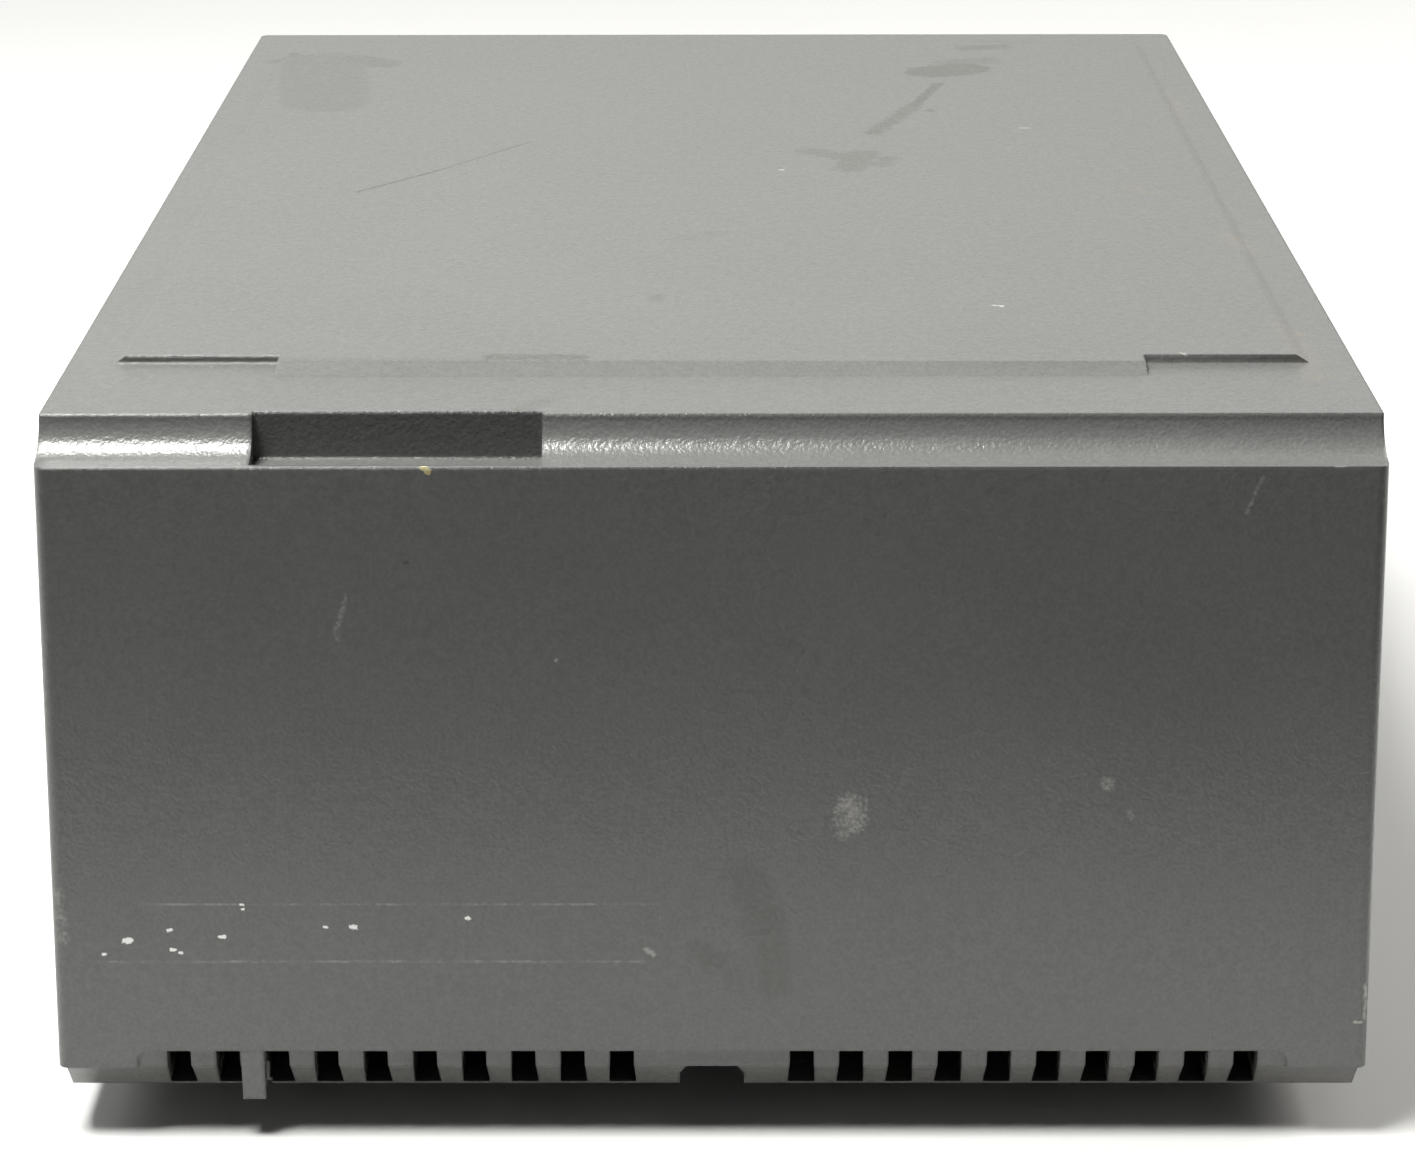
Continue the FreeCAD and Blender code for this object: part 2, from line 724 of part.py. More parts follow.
def make_base_pan():
    body = make_body("base_pan")
    half = "(cover_width / 2 - lip_inset)"
    deep = "(cover_depth / 2 - lip_inset)"

    outline = sketch(body, "base_outline", "XY_Plane", "foot_height")
    rectangle(outline, f"0 - {half}", half, f"0 - {deep}", deep)
    pad(body, "base_block", outline, "lip_height")
    tray = sketch(body, "tray_outline", "XY_Plane", EDGE)
    rectangle(tray, f"0 - {half} + lip_wall", f"{half} - lip_wall",
              f"0 - {deep} + lip_wall", f"{deep} - lip_wall")
    pocket(body, "tray", tray, "lip_height - floor_thick")

    # Tongues that locate the cover's side walls, inside them
    tongues = sketch(body, "tongues_outline", "XY_Plane", FLOOR)
    outer = "(cover_width / 2 - cover_wall - tongue_gap)"
    for side in ("1", "-1"):
        rectangle(tongues, f"{side} * ({outer} - tongue_thick)", f"{side} * {outer}",
                  f"{FRONT} + cover_wall + tongue_gap", f"{PANEL_IN} - tongue_gap")
    pad(body, "tongues", tongues, "lip_height - floor_thick + tongue_height")

    # Bosses: under the cover's posts, the board's standoffs, the transformer's pads, the panel's blocks
    bosses = sketch(body, "post_seats_outline", "XY_Plane", "foot_height")
    for side in ("post_x", "(0 - post_x)"):
        for row in (POST_FRONT, POST_REAR):
            circle(bosses, side, row, "post_base")
    pad(body, "post_seats", bosses, "floor_thick + post_base_height")
    standoffs = sketch(body, "standoffs_outline", "XY_Plane", "foot_height + 1")
    for x, y in board_holes():
        circle(standoffs, x, y, "standoff_radius")
    pad(body, "standoffs", standoffs, "floor_thick + board_up - 1")
    pads = sketch(body, "core_pads_outline", "XY_Plane", "foot_height + 1")
    for side in ("1", "-1"):
        middle = f"core_y + {side} * {STRAP_HOLE}"
        rectangle_at(pads, "core_x", "core_stack", middle, "strap_foot")
    rectangle_at(pads, "core_x", "core_stack", "core_y", f"{CORE_HALF} * 1.5")
    pad(body, "core_pads", pads, "floor_thick + core_up - 1")
    blocks = sketch(body, "lower_blocks_outline", "XY_Plane", "foot_height + 1")
    for side in ("1", "-1"):
        rectangle(blocks, f"{side} * ({PANEL_SCREW_X} - block_size / 2)", f"{side} * {outer}",
                  BLOCK_BACK, PANEL_IN)
    pad(body, "lower_blocks", blocks, "floor_thick + panel_screw_rise * 2 - 1")

    # Holes for all of those screws
    through = sketch(body, "post_holes_outline", "XY_Plane", "foot_height - 1")
    counter = sketch(body, "counterbores_outline", "XY_Plane", "foot_height - 1")
    for side in ("post_x", "(0 - post_x)"):
        for row in (POST_FRONT, POST_REAR):
            circle(through, side, row, "screw_radius + hole_gap")
            circle(counter, side, row, "head_radius + hole_gap * 2")
    pocket(body, "post_holes", through, "floor_thick + post_base_height + 3", reverse=True)
    pocket(body, "counterbores", counter, "counterbore + 1", reverse=True)
    pilots = sketch(body, "pilots_outline", "XY_Plane", BOARD)
    for x, y in board_holes():
        circle(pilots, x, y, "small_screw_radius + thread_gap")
    pocket(body, "board_pilots", pilots, "board_up - 1")
    strap_pilots = sketch(body, "strap_pilots_outline", "XY_Plane", CORE_LOW)
    for side in ("1", "-1"):
        circle(strap_pilots, "core_x", f"core_y + {side} * {STRAP_HOLE}", "screw_radius + thread_gap")
    pocket(body, "strap_pilots", strap_pilots, "core_up + floor_thick - 0.6")
    holes = sketch(body, "panel_pilots_outline", "XZ_Plane", f"0 - {PANEL_IN} - 1")
    for side in ("1", "-1"):
        circle(holes, f"{side} * {PANEL_SCREW_X}", LOW_SCREW, "screw_radius + thread_gap")
    pocket(body, "panel_pilots", holes, "block_size", reverse=True)

    # Bevel under the front edge, slots carried back over a thin skin, pry notch and the tab's keyway
    bevel = sketch(body, "bevel_outline", "YZ_Plane")
    lip_front = f"({FRONT} + lip_inset)"
    polygon(bevel, [
        (f"{lip_front} - 1", "foot_height - 1"),
        (f"{lip_front} + lip_bevel", "foot_height - 1"),
        (f"{lip_front} + lip_bevel", "foot_height"),
        (lip_front, f"{EDGE} - 0.3"),
        (f"{lip_front} - 1", f"{EDGE} - 0.3"),
    ])
    pocket(body, "front_bevel", bevel, "cover_width * 2", both=True)
    slots = sketch(body, "base_slots_outline", "XZ_Plane", "cover_depth / 2 + 1")
    comb_slots(slots, "foot_height + slot_skin", f"{EDGE} + 1", low_more="slot_flare")
    pocket(body, "base_slots", slots, "slot_run + 1")
    notch = sketch(body, "notch_outline", "XZ_Plane", "cover_depth / 2 + 1")
    polygon(notch, [
        ("0 - notch_half", "foot_height - 0.5"),
        ("notch_half", "foot_height - 0.5"),
        ("notch_half", "foot_height + notch_shoulder"),
        ("notch_top_half", f"{EDGE} + 0.5"),
        ("0 - notch_top_half", f"{EDGE} + 0.5"),
        ("0 - notch_half", "foot_height + notch_shoulder"),
    ])
    pocket(body, "pry_notch", notch, "notch_deep + 1")
    keyway = sketch(body, "keyway_outline", "XY_Plane", f"{EDGE} + 1")
    rectangle(keyway, "0 - key_middle - key_wide / 2 - key_gap", "0 - key_middle + key_wide / 2 + key_gap",
              f"{FRONT} - 1", f"{FRONT} + key_deep")
    pocket(body, "keyway", keyway, "lip_height + 2")

    # Shallow seats for the feet
    seats = sketch(body, "foot_seats_outline", "XY_Plane", "foot_height - 1")
    for x, y in foot_places().values():
        circle(seats, x, y, "foot_radius + foot_gap")
    pocket(body, "foot_seats", seats, "foot_seat + 1", reverse=True)
    return node("base_pan", body)


def foot_places():
    front = f"({POST_FRONT} + foot_inset)"
    rear = f"({POST_REAR} - foot_inset)"
    return {
        "foot_front_left": ("(0 - foot_x)", front),
        "foot_front_right": ("foot_x", front),
        "foot_rear_left": ("(0 - foot_x)", rear),
        "foot_rear_right": ("foot_x", rear),
    }


def make_feet():
    """Four round feet, each with a dimple under it."""
    feet = []
    for name, (x, y) in foot_places().items():
        disc = rod(name + "_disc", "Z", "foot_radius", "foot_height + foot_seat", x, y, "0")
        dimple = rod(name + "_dimple", "Z", "foot_dimple_radius", "foot_dimple + 1", x, y, "0 - 1")
        feet.append(cut(name, disc, [dimple]))
    node("feet", group("feet", feet))


def board_holes():
    columns = ("(board_left + board_inset)", "(board_right - board_inset)")
    rows = ("(board_front + board_inset)", "(board_rear - board_inset)")
    return [(x, y) for x in columns for y in rows]


def make_cover_screws():
    """Four long screws that go up through the base into the cover's posts."""
    screws = []
    grip = "floor_thick + post_base_height - counterbore + thread_depth"
    for side, x in (("left", "(0 - post_x)"), ("right", "post_x")):
        for end, y in (("front", POST_FRONT), ("rear", POST_REAR)):
            name = f"cover_screw_{end}_{side}"
            screws.append(screw(name, "Z", x, y, "foot_height + counterbore", grip))
    node("cover_screws", group("cover_screws", screws))


def make_rear_panel():
    body = make_body("rear_panel")
    outline = sketch(body, "panel_outline", "XZ_Plane", f"0 - {PANEL_OUT}")
    bottom = "(cover_width / 2 - cover_wall - panel_gap)"
    rise = f"({ROOF} - panel_gap - {FLOOR})"
    top = f"({bottom} - {rise} * tan(draft))"
    polygon(outline, [
        (f"0 - {bottom}", FLOOR),
        (bottom, FLOOR),
        (top, f"{ROOF} - panel_gap"),
        (f"0 - {top}", f"{ROOF} - panel_gap"),
    ])
    pad(body, "panel_plate", outline, "panel_thick")

    cutouts = sketch(body, "cutouts_outline", "XZ_Plane", f"0 - {PANEL_OUT} - 1")
    rectangle_at(cutouts, "inlet_x", "inlet_body_wide + cutout_gap", LOWER, "inlet_body_tall + cutout_gap")
    rectangle_at(cutouts, "inlet_x", "switch_wide + cutout_gap", UPPER, "switch_tall + cutout_gap")
    circle(cutouts, "xlr_x", LOWER, "xlr_outer + cutout_gap")
    for x in ("input_x", "link_x"):
        circle(cutouts, x, LOWER, "bush_radius + cutout_gap")
    circle(cutouts, "lamp_x", UPPER, "bezel_tube + cutout_gap")
    circle(cutouts, "earth_x", f"{FLOOR} + earth_up", "earth_radius + cutout_gap")
    for number in range(-VENTS_LEFT, VENTS_RIGHT + 1):
        rectangle_at(cutouts, f"{number} * vent_pitch", "vent_wide", f"{ROOF} - vent_drop", "vent_tall")
    for x, places in slide_switches().values():
        width = f"knob_wide + throw * {places - 1} + slide_gap * 2"
        rectangle_at(cutouts, x, width, UPPER, "knob_tall + slide_gap * 2")
    pocket(body, "cutouts", cutouts, "panel_thick + 2", reverse=True)

    holes = sketch(body, "screw_holes_outline", "XZ_Plane", f"0 - {PANEL_OUT} - 1")
    for side in ("1", "-1"):
        for z in (LOW_SCREW, HIGH_SCREW):
            circle(holes, f"{side} * {PANEL_SCREW_X}", z, "screw_radius + hole_gap")
        circle(holes, f"inlet_x + {side} * inlet_screw_pitch / 2", LOWER, "screw_radius + thread_gap")
        circle(holes, f"xlr_x + {side} * xlr_screw_x", f"{LOWER} + {side} * xlr_screw_z",
               "screw_radius + thread_gap")
        for x, places in slide_switches().values():
            at = f"{x} + {side} * {slide_screw_reach(places)}"
            circle(holes, at, UPPER, "small_screw_radius + hole_gap")
    pocket(body, "screw_holes", holes, "panel_thick + 2", reverse=True)
    return node("rear_panel", body)


def make_panel_screws():
    screws = []
    for side, sign in (("left", "-1"), ("right", "1")):
        for level, z in (("low", LOW_SCREW), ("high", HIGH_SCREW)):
            x = f"{sign} * {PANEL_SCREW_X}"
            screws.append(screw(f"panel_screw_{level}_{side}", "Y", x, PANEL_OUT, z, "panel_thick + 8"))
    node("panel_screws", group("panel_screws", screws))


# ------------------------------------------------ mains inlet and switch

SOCKET_Z = "(foot_height + floor_thick + lower_row + socket_rise)"
DRAWER_Z = "(foot_height + floor_thick + lower_row - drawer_drop)"
INLET_FACE = "(cover_depth / 2 - rear_recess + inlet_flange)"


def inlet_blades():
    """Each blade's name, and its X and Z."""
    return {
        "live": ("(inlet_x - blade_pitch / 2)", f"({SOCKET_Z} - blade_step)"),
        "neutral": ("(inlet_x + blade_pitch / 2)", f"({SOCKET_Z} - blade_step)"),
        "earth": ("inlet_x", f"({SOCKET_Z} + blade_step)"),
    }


def make_mains_inlet():
    body = make_body("mains_inlet")
    back = f"({PANEL_OUT} - inlet_body_deep)"
    flange = sketch(body, "inlet_flange_outline", "XZ_Plane", f"0 - {INLET_FACE}")
    rectangle_at(flange, "inlet_x", "inlet_wide", LOWER, "inlet_tall")
    pad(body, "inlet_flange_plate", flange, "inlet_flange")
    block_outline = sketch(body, "inlet_body_outline", "XZ_Plane", f"0 - {INLET_FACE}")
    rectangle_at(block_outline, "inlet_x", "inlet_body_wide", LOWER, "inlet_body_tall")
    pad(body, "inlet_block", block_outline, f"{INLET_FACE} - {back}")
    mouth = sketch(body, "socket_outline", "XZ_Plane", f"0 - {INLET_FACE} - 1")
    half_wide, half_tall, corner = "(socket_wide / 2)", "(socket_tall / 2)", "(socket_tall / 3.5)"
    polygon(mouth, [
        (f"inlet_x - {half_wide}", f"{SOCKET_Z} - {half_tall}"),
        (f"inlet_x + {half_wide}", f"{SOCKET_Z} - {half_tall}"),
        (f"inlet_x + {half_wide}", f"{SOCKET_Z} + {half_tall} - {corner}"),
        (f"inlet_x + {half_wide} - {corner}", f"{SOCKET_Z} + {half_tall}"),
        (f"inlet_x - {half_wide} + {corner}", f"{SOCKET_Z} + {half_tall}"),
        (f"inlet_x - {half_wide}", f"{SOCKET_Z} + {half_tall} - {corner}"),
    ])
    pocket(body, "inlet_socket", mouth, "socket_deep + 1", reverse=True)
    drawer = sketch(body, "drawer_outline", "XZ_Plane", f"0 - {INLET_FACE} - 1")
    rectangle_at(drawer, "inlet_x", "drawer_wide + drawer_gap * 2", DRAWER_Z, "drawer_tall + drawer_gap * 2")
    pocket(body, "drawer_bay", drawer, "drawer_deep + drawer_gap + 1", reverse=True)
    slits = sketch(body, "blade_slits_outline", "XZ_Plane", f"0 - {INLET_FACE} - 1")
    for x, z in inlet_blades().values():
        rectangle_at(slits, x, "blade_wide", z, "blade_tall")
    pocket(body, "blade_slits", slits, "inlet_flange + inlet_body_deep + 3", reverse=True)
    holes = sketch(body, "inlet_holes_outline", "XZ_Plane", f"0 - {INLET_FACE} - 1")
    for side in ("1", "-1"):
        circle(holes, f"inlet_x + {side} * inlet_screw_pitch / 2", LOWER, "screw_radius + hole_gap")
    pocket(body, "inlet_holes", holes, "inlet_flange + 2", reverse=True)
    node("mains_inlet", body)


def make_inlet_pins():
    back = f"({PANEL_OUT} - inlet_body_deep)"
    blades = []
    for name, (x, z) in inlet_blades().items():
        wide = (f"{x} - blade_wide / 2", f"{x} + blade_wide / 2")
        tall = (f"{z} - blade_tall / 2", f"{z} + blade_tall / 2")
        thin = (f"{x} - tag_thick / 2", f"{x} + tag_thick / 2")
        blade = block(name + "_blade", wide, (back, f"{INLET_FACE} - blade_short"), tall)
        tag = block(name + "_tag", thin, (f"{back} - tag_length", back), tall)
        blades.append(joined(name + "_pin", [blade, tag]))
    node("inlet_pins", group("inlet_pins", blades))


def make_inlet_screws():
    screws = []
    for side in ("-1", "1"):
        x = f"inlet_x + {side} * inlet_screw_pitch / 2"
        screws.append(screw("inlet_screw_" + ("left" if side == "-1" else "right"), "Y", x, INLET_FACE,
                            LOWER, "inlet_flange + panel_thick + 2"))
    node("inlet_screws", group("inlet_screws", screws))


def make_fuse_drawer():
    """A tray with a face plate; the fuse lies across it in an open pocket."""
    low, high = f"{DRAWER_Z} - drawer_tall / 2", f"{DRAWER_Z} + drawer_tall / 2"
    tray = block_at("drawer_tray", "inlet_x", "drawer_wide", (f"{INLET_FACE} - drawer_deep", INLET_FACE),
                    (low, high))
    face = block_at("drawer_face_plate", "inlet_x", "drawer_wide + drawer_face_over * 2",
                    (INLET_FACE, f"{INLET_FACE} + drawer_face"),
                    (f"{low} - drawer_face_over", f"{high} + drawer_face_over"))
    grip = block_at("drawer_grip", "inlet_x", "drawer_wide / 2",
                    (f"{INLET_FACE} + drawer_face", f"{INLET_FACE} + drawer_face * 2"),
                    (low, f"{low} + drawer_grip"))
    across = "(fuse_radius * 2 + fuse_gap * 2)"
    back = f"({INLET_FACE} - drawer_deep + drawer_back)"
    nest = block_at("drawer_nest", "inlet_x", "fuse_long + fuse_gap * 2", (back, f"{back} + {across}"),
                    (f"{DRAWER_Z} - fuse_radius - fuse_gap", f"{high} + 1"))
    relief = block_at("drawer_relief", "inlet_x", "drawer_wide - drawer_side * 2",
                      (f"{back} + {across} + drawer_web", f"{INLET_FACE} - drawer_web"),
                      (f"{low} + drawer_web", f"{high} + 1"))
    solid = joined("drawer_solid", [tray, face, grip])
    node("fuse_drawer", cut("fuse_drawer", solid, [nest, relief]))

    middle = f"({back} + fuse_gap + fuse_radius)"
    left, right = "(inlet_x - fuse_long / 2)", "(inlet_x + fuse_long / 2)"
    node("fuse", joined("fuse", [
        rod("fuse_left_cap", "X", "fuse_radius", "fuse_cap", left, middle, DRAWER_Z),
        rod("fuse_tube", "X", "fuse_radius - fuse_cap_wall", "fuse_long - fuse_cap * 2",
            f"{left} + fuse_cap", middle, DRAWER_Z),
        rod("fuse_right_cap", "X", "fuse_radius", "fuse_cap", f"{right} - fuse_cap", middle, DRAWER_Z),
    ]))


PIVOT_Y = "(cover_depth / 2 - rear_recess - pivot_sunk)"


def make_power_switch():
    body = make_body("power_switch")
    face = f"({PANEL_OUT} + switch_flange)"
    flange = sketch(body, "switch_flange_outline", "XZ_Plane", f"0 - {face}")
    rectangle_at(flange, "inlet_x", "switch_flange_wide", UPPER, "switch_flange_tall")
    pad(body, "switch_bezel", flange, "switch_flange")
    case = sketch(body, "switch_case_outline", "XZ_Plane", f"0 - {face}")
    rectangle_at(case, "inlet_x", "switch_wide", UPPER, "switch_tall")
    pad(body, "switch_case", case, "switch_flange + switch_deep")
    well = sketch(body, "switch_well_outline", "XZ_Plane", f"0 - {face} - 1")
    rectangle_at(well, "inlet_x", "(rocker_half_wide + rocker_side_gap) * 2",
                 UPPER, "(rocker_half_long + rocker_end_gap) * 2")
    pocket(body, "switch_well", well, "switch_flange + pivot_sunk + rocker_depth + 3", reverse=True)
    pivot = sketch(body, "pivot_outline", "YZ_Plane", "inlet_x")
    circle(pivot, PIVOT_Y, UPPER, "pivot_radius + pivot_gap")
    pocket(body, "pivot_holes", pivot, "switch_wide - 0.8", both=True)
    node("power_switch", body)

    tags = []
    back = f"({PANEL_OUT} - switch_deep)"
    for number, (across, up) in enumerate((("-1", "-1"), ("1", "-1"), ("-1", "1"), ("1", "1"))):
        x, z = f"inlet_x + {across} * switch_tag_x", f"{UPPER} + {up} * switch_tag_z"
        tags.append(block_at(f"switch_tag_{number}", x, "tag_thick", (f"{back} - tag_length", back),
                             (f"{z} - switch_tag_tall / 2", f"{z} + switch_tag_tall / 2")))
    node("switch_tags", group("switch_tags", tags))


def make_power_rocker():
    """Drawn level about its own pivot, then tipped to its off position."""
    body = make_body("power_rocker")
    side = sketch(body, "rocker_profile", "YZ_Plane")
    polygon(side, [
        ("rocker_reach", "0 - rocker_half_long"),
        ("rocker_reach - rocker_dip", "0"),
        ("rocker_reach", "rocker_half_long"),
        ("rocker_reach * 0.2", "rocker_half_long * 0.97"),
        ("0 - rocker_depth", "rocker_half_long * 0.4"),
        ("0 - rocker_depth", "0 - rocker_half_long * 0.4"),
        ("rocker_reach * 0.2", "0 - rocker_half_long * 0.97"),
    ])
    pad(body, "rocker_paddle", side, "rocker_half_wide * 2", both=True)
    pin = sketch(body, "rocker_pin_outline", "YZ_Plane")
    circle(pin, "0", "0", "pivot_radius")
    pad(body, "rocker_pins", pin, "switch_wide - 1", both=True)
    put(body, "inlet_x", PIVOT_Y, UPPER)
    body.setExpression("Placement.Rotation.Axis.x", "1")
    body.setExpression("Placement.Rotation.Axis.y", "0")
    body.setExpression("Placement.Rotation.Axis.z", "0")
    body.setExpression("Placement.Rotation.Angle", ex("rocker_tilt"))
    node("power_rocker", body)


# ------------------------------------------------------ audio connectors

def make_output_connector():
    body = make_body("output_shell")
    face = f"({PANEL_OUT} + xlr_flange)"
    plate = sketch(body, "shell_flange_outline", "XZ_Plane", f"0 - {face}")
    half, tall, nip = "(xlr_wide / 2)", "(xlr_tall / 2)", "xlr_corner"
    polygon(plate, [
        (f"xlr_x - {half} + {nip}", f"{LOWER} - {tall}"), (f"xlr_x + {half} - {nip}", f"{LOWER} - {tall}"),
        (f"xlr_x + {half}", f"{LOWER} - {tall} + {nip}"), (f"xlr_x + {half}", f"{LOWER} + {tall} - {nip}"),
        (f"xlr_x + {half} - {nip}", f"{LOWER} + {tall}"), (f"xlr_x - {half} + {nip}", f"{LOWER} + {tall}"),
        (f"xlr_x - {half}", f"{LOWER} + {tall} - {nip}"), (f"xlr_x - {half}", f"{LOWER} - {tall} + {nip}"),
    ])
    pad(body, "shell_flange", plate, "xlr_flange")
    barrel = sketch(body, "shell_barrel_outline", "XZ_Plane", f"0 - {face}")
    circle(barrel, "xlr_x", LOWER, "xlr_outer")
    pad(body, "shell_barrel", barrel, "xlr_flange + xlr_deep")
    bore = sketch(body, "shell_bore_outline", "XZ_Plane", f"0 - {face} - 1")
    circle(bore, "xlr_x", LOWER, "xlr_inner")
    pocket(body, "shell_bore", bore, "xlr_flange + xlr_deep + 2", reverse=True)
    holes = sketch(body, "shell_holes_outline", "XZ_Plane", f"0 - {face} - 1")
    for side in ("1", "-1"):
        circle(holes, f"xlr_x + {side} * xlr_screw_x", f"{LOWER} + {side} * xlr_screw_z",
               "screw_radius + hole_gap")
    pocket(body, "shell_holes", holes, "xlr_flange + 2", reverse=True)
    node("output_shell", body)

    back = f"({PANEL_OUT} - xlr_deep + insert_back)"
    disc = rod("insert_disc", "Y", "xlr_inner", "insert_thick", "xlr_x", back, LOWER)
    bores, pins = [], []
    for number in range(3):
        turn = 90 + 120 * number
        x = f"xlr_x + pin_circle * cos({turn})"
        z = f"{LOWER} - pin_circle * sin({turn})"
        bores.append(rod(f"insert_bore_{number}", "Y", "pin_radius", "insert_thick", x, back, z))
        pins.append(rod(f"output_pin_{number}", "Y", "pin_radius", "pin_back + insert_thick + pin_front",
                        x, f"{back} - pin_back", z))
    node("output_insert", cut("output_insert", disc, bores))
    node("output_pins", group("output_pins", pins))
    screws = []
    for side in ("1", "-1"):
        x, z = f"xlr_x + {side} * xlr_screw_x", f"{LOWER} + {side} * xlr_screw_z"
        screws.append(screw("output_screw_" + ("high" if side == "1" else "low"), "Y", x, face, z,
                            "xlr_flange + panel_thick + 2"))
    node("output_screws", group("output_screws", screws))


def make_jack(name, x):
    """Nylon body behind the panel, threaded bush through it, open chamber for the plug's tip."""
    face = f"({PANEL_OUT} + bush_out)"
    back = f"({PANEL_IN} - jack_deep)"
    case = block_at(name + "_case", x, "jack_wide", (back, PANEL_IN),
                    (f"{LOWER} - jack_tall / 2", f"{LOWER} + jack_tall / 2"))
    bush = rod(name + "_bush", "Y", "bush_radius", "panel_thick + bush_out", x, PANEL_IN, LOWER)
    chamber = block_at(name + "_chamber", x, "jack_wide - jack_wall * 2",
                       (f"{back} + jack_wall", f"{PANEL_IN} - jack_wall"),
                       (f"{LOWER} - jack_tall / 2 + jack_wall", f"{LOWER} + jack_tall / 2 - jack_wall"))
    bore = rod(name + "_bore", "Y", "jack_bore", "panel_thick + bush_out + jack_wall * 2", x,
               f"{PANEL_IN} - jack_wall * 1.5", LOWER)
    slits = []
    for side in ("-1", "1"):
        middle = f"({x} + {side} * (jack_wide / 2 - jack_wall - contact_thick / 2))"
        slits.append(block_at(f"{name}_slit_{len(slits)}", middle, "contact_thick",
                              (f"{back} - 1", f"{back} + jack_wall + 1"),
                              (f"{LOWER} - contact_wide / 2", f"{LOWER} + contact_wide / 2")))
    solid = joined(name + "_solid", [case, bush])
    node(name, cut(name, solid, [chamber, bore] + slits))

    nut = prism(name + "_nut_blank", "Y", "nut_flats", "nut_thick", x, PANEL_OUT, LOWER)
    thread = rod(name + "_nut_bore", "Y", "bush_radius + thread_gap", "nut_thick + 2", x,
                 f"{PANEL_OUT} - 1", LOWER)
    node(name + "_nut", cut(name + "_nut", nut, [thread]))

    contacts = []
    for side, reach in (("-1", "jack_deep * 0.72"), ("1", "jack_deep * 0.45")):
        label = "tip" if side == "-1" else "sleeve"
        middle = f"({x} + {side} * (jack_wide / 2 - jack_wall - contact_thick / 2))"
        tall = (f"{LOWER} - contact_wide / 2", f"{LOWER} + contact_wide / 2")
        leaf = block_at(f"{name}_{label}_leaf", middle, "contact_thick",
                        (f"{back} - 4", f"{back} + {reach}"), tall)
        toe_low = f"({x} + {side} * (jack_bore + 0.1))"
        toe_high = f"({x} + {side} * (jack_wide / 2 - jack_wall))"
        ends = (toe_high, toe_low) if side == "-1" else (toe_low, toe_high)
        toe = block(f"{name}_{label}_toe", ends,
                    (f"{back} + {reach} - contact_thick * 2", f"{back} + {reach}"), tall)
        contacts.append(joined(f"{name}_{label}_contact", [leaf, toe]))
    node(name + "_contacts", group(name + "_contacts", contacts))


# --------------------------------------------------------- slide switches

def slide_switches():
    """Each switch's X and how many places it has."""
    return {
        "pad_switch": ("pad_x", 3),
        "ground_lift_switch": ("lift_x", 2),
        "polarity_switch": ("polarity_x", 2),
    }


def slide_screw_reach(places):
    """From a switch's middle out to its screws."""
    return f"((slider_wide + throw * {places - 1}) / 2 + slide_gap + slide_case_wall + slide_ear / 2)"


def make_slide_switch(name, x, places):
    """The slider rests at the -X end of its travel."""
    travel = f"(throw * {places - 1})"
    bay = f"(slider_wide + {travel} + slide_gap * 2)"
    low, high = f"{UPPER} - slider_tall / 2 - slide_gap", f"{UPPER} + slider_tall / 2 + slide_gap"
    case = block_at(name + "_case", x, f"{bay} + slide_case_wall * 2",
                    (f"{PANEL_IN} - slide_case_deep", PANEL_IN),
                    (f"{low} - slide_case_wall", f"{high} + slide_case_wall"))
    ears = block_at(name + "_ears", x, f"{bay} + (slide_case_wall + slide_ear) * 2",
                    (f"{PANEL_IN} - slide_ear_thick", PANEL_IN), (low, high))
    room = block_at(name + "_room", x, bay, (f"{PANEL_IN} - slider_thick - slide_gap", f"{PANEL_IN} + 1"),
                    (low, high))
    holes = []
    screws = []
    for side, label in (("-1", "left"), ("1", "right")):
        at = f"{x} + {side} * {slide_screw_reach(places)}"
        holes.append(rod(f"{name}_hole_{label}", "Y", "small_screw_radius + thread_gap", "4", at,
                         f"{PANEL_IN} - 3", UPPER))
        screws.append(screw(f"{name}_screw_{label}", "Y", at, PANEL_OUT, UPPER,
                            "panel_thick + slide_ear_thick + 1.5", "small_screw_radius",
                            "small_head_radius", "small_head_height"))
    node(name, cut(name, joined(name + "_solid", [case, ears]), [room] + holes))

    middle = f"({x} - {travel} / 2)"
    base = block_at(name + "_slider_base", middle, "slider_wide",
                    (f"{PANEL_IN} - slider_thick", f"{PANEL_IN} - slide_gap"),
                    (f"{UPPER} - slider_tall / 2", f"{UPPER} + slider_tall / 2"))
    knob = block_at(name + "_knob", middle, "knob_wide",
                    (f"{PANEL_IN} - slider_thick", f"{PANEL_OUT} + knob_out"),
                    (f"{UPPER} - knob_tall / 2", f"{UPPER} + knob_tall / 2"))
    slider = name.replace("_switch", "_slider")
    node(slider, joined(slider, [base, knob]))
    return screws


def make_slide_switches():
    screws = []
    for name, (x, places) in slide_switches().items():
        screws += make_slide_switch(name, x, places)
    node("slide_switch_screws", group("slide_switch_screws", screws))


# ----------------------------------------------- lamp and protective earth

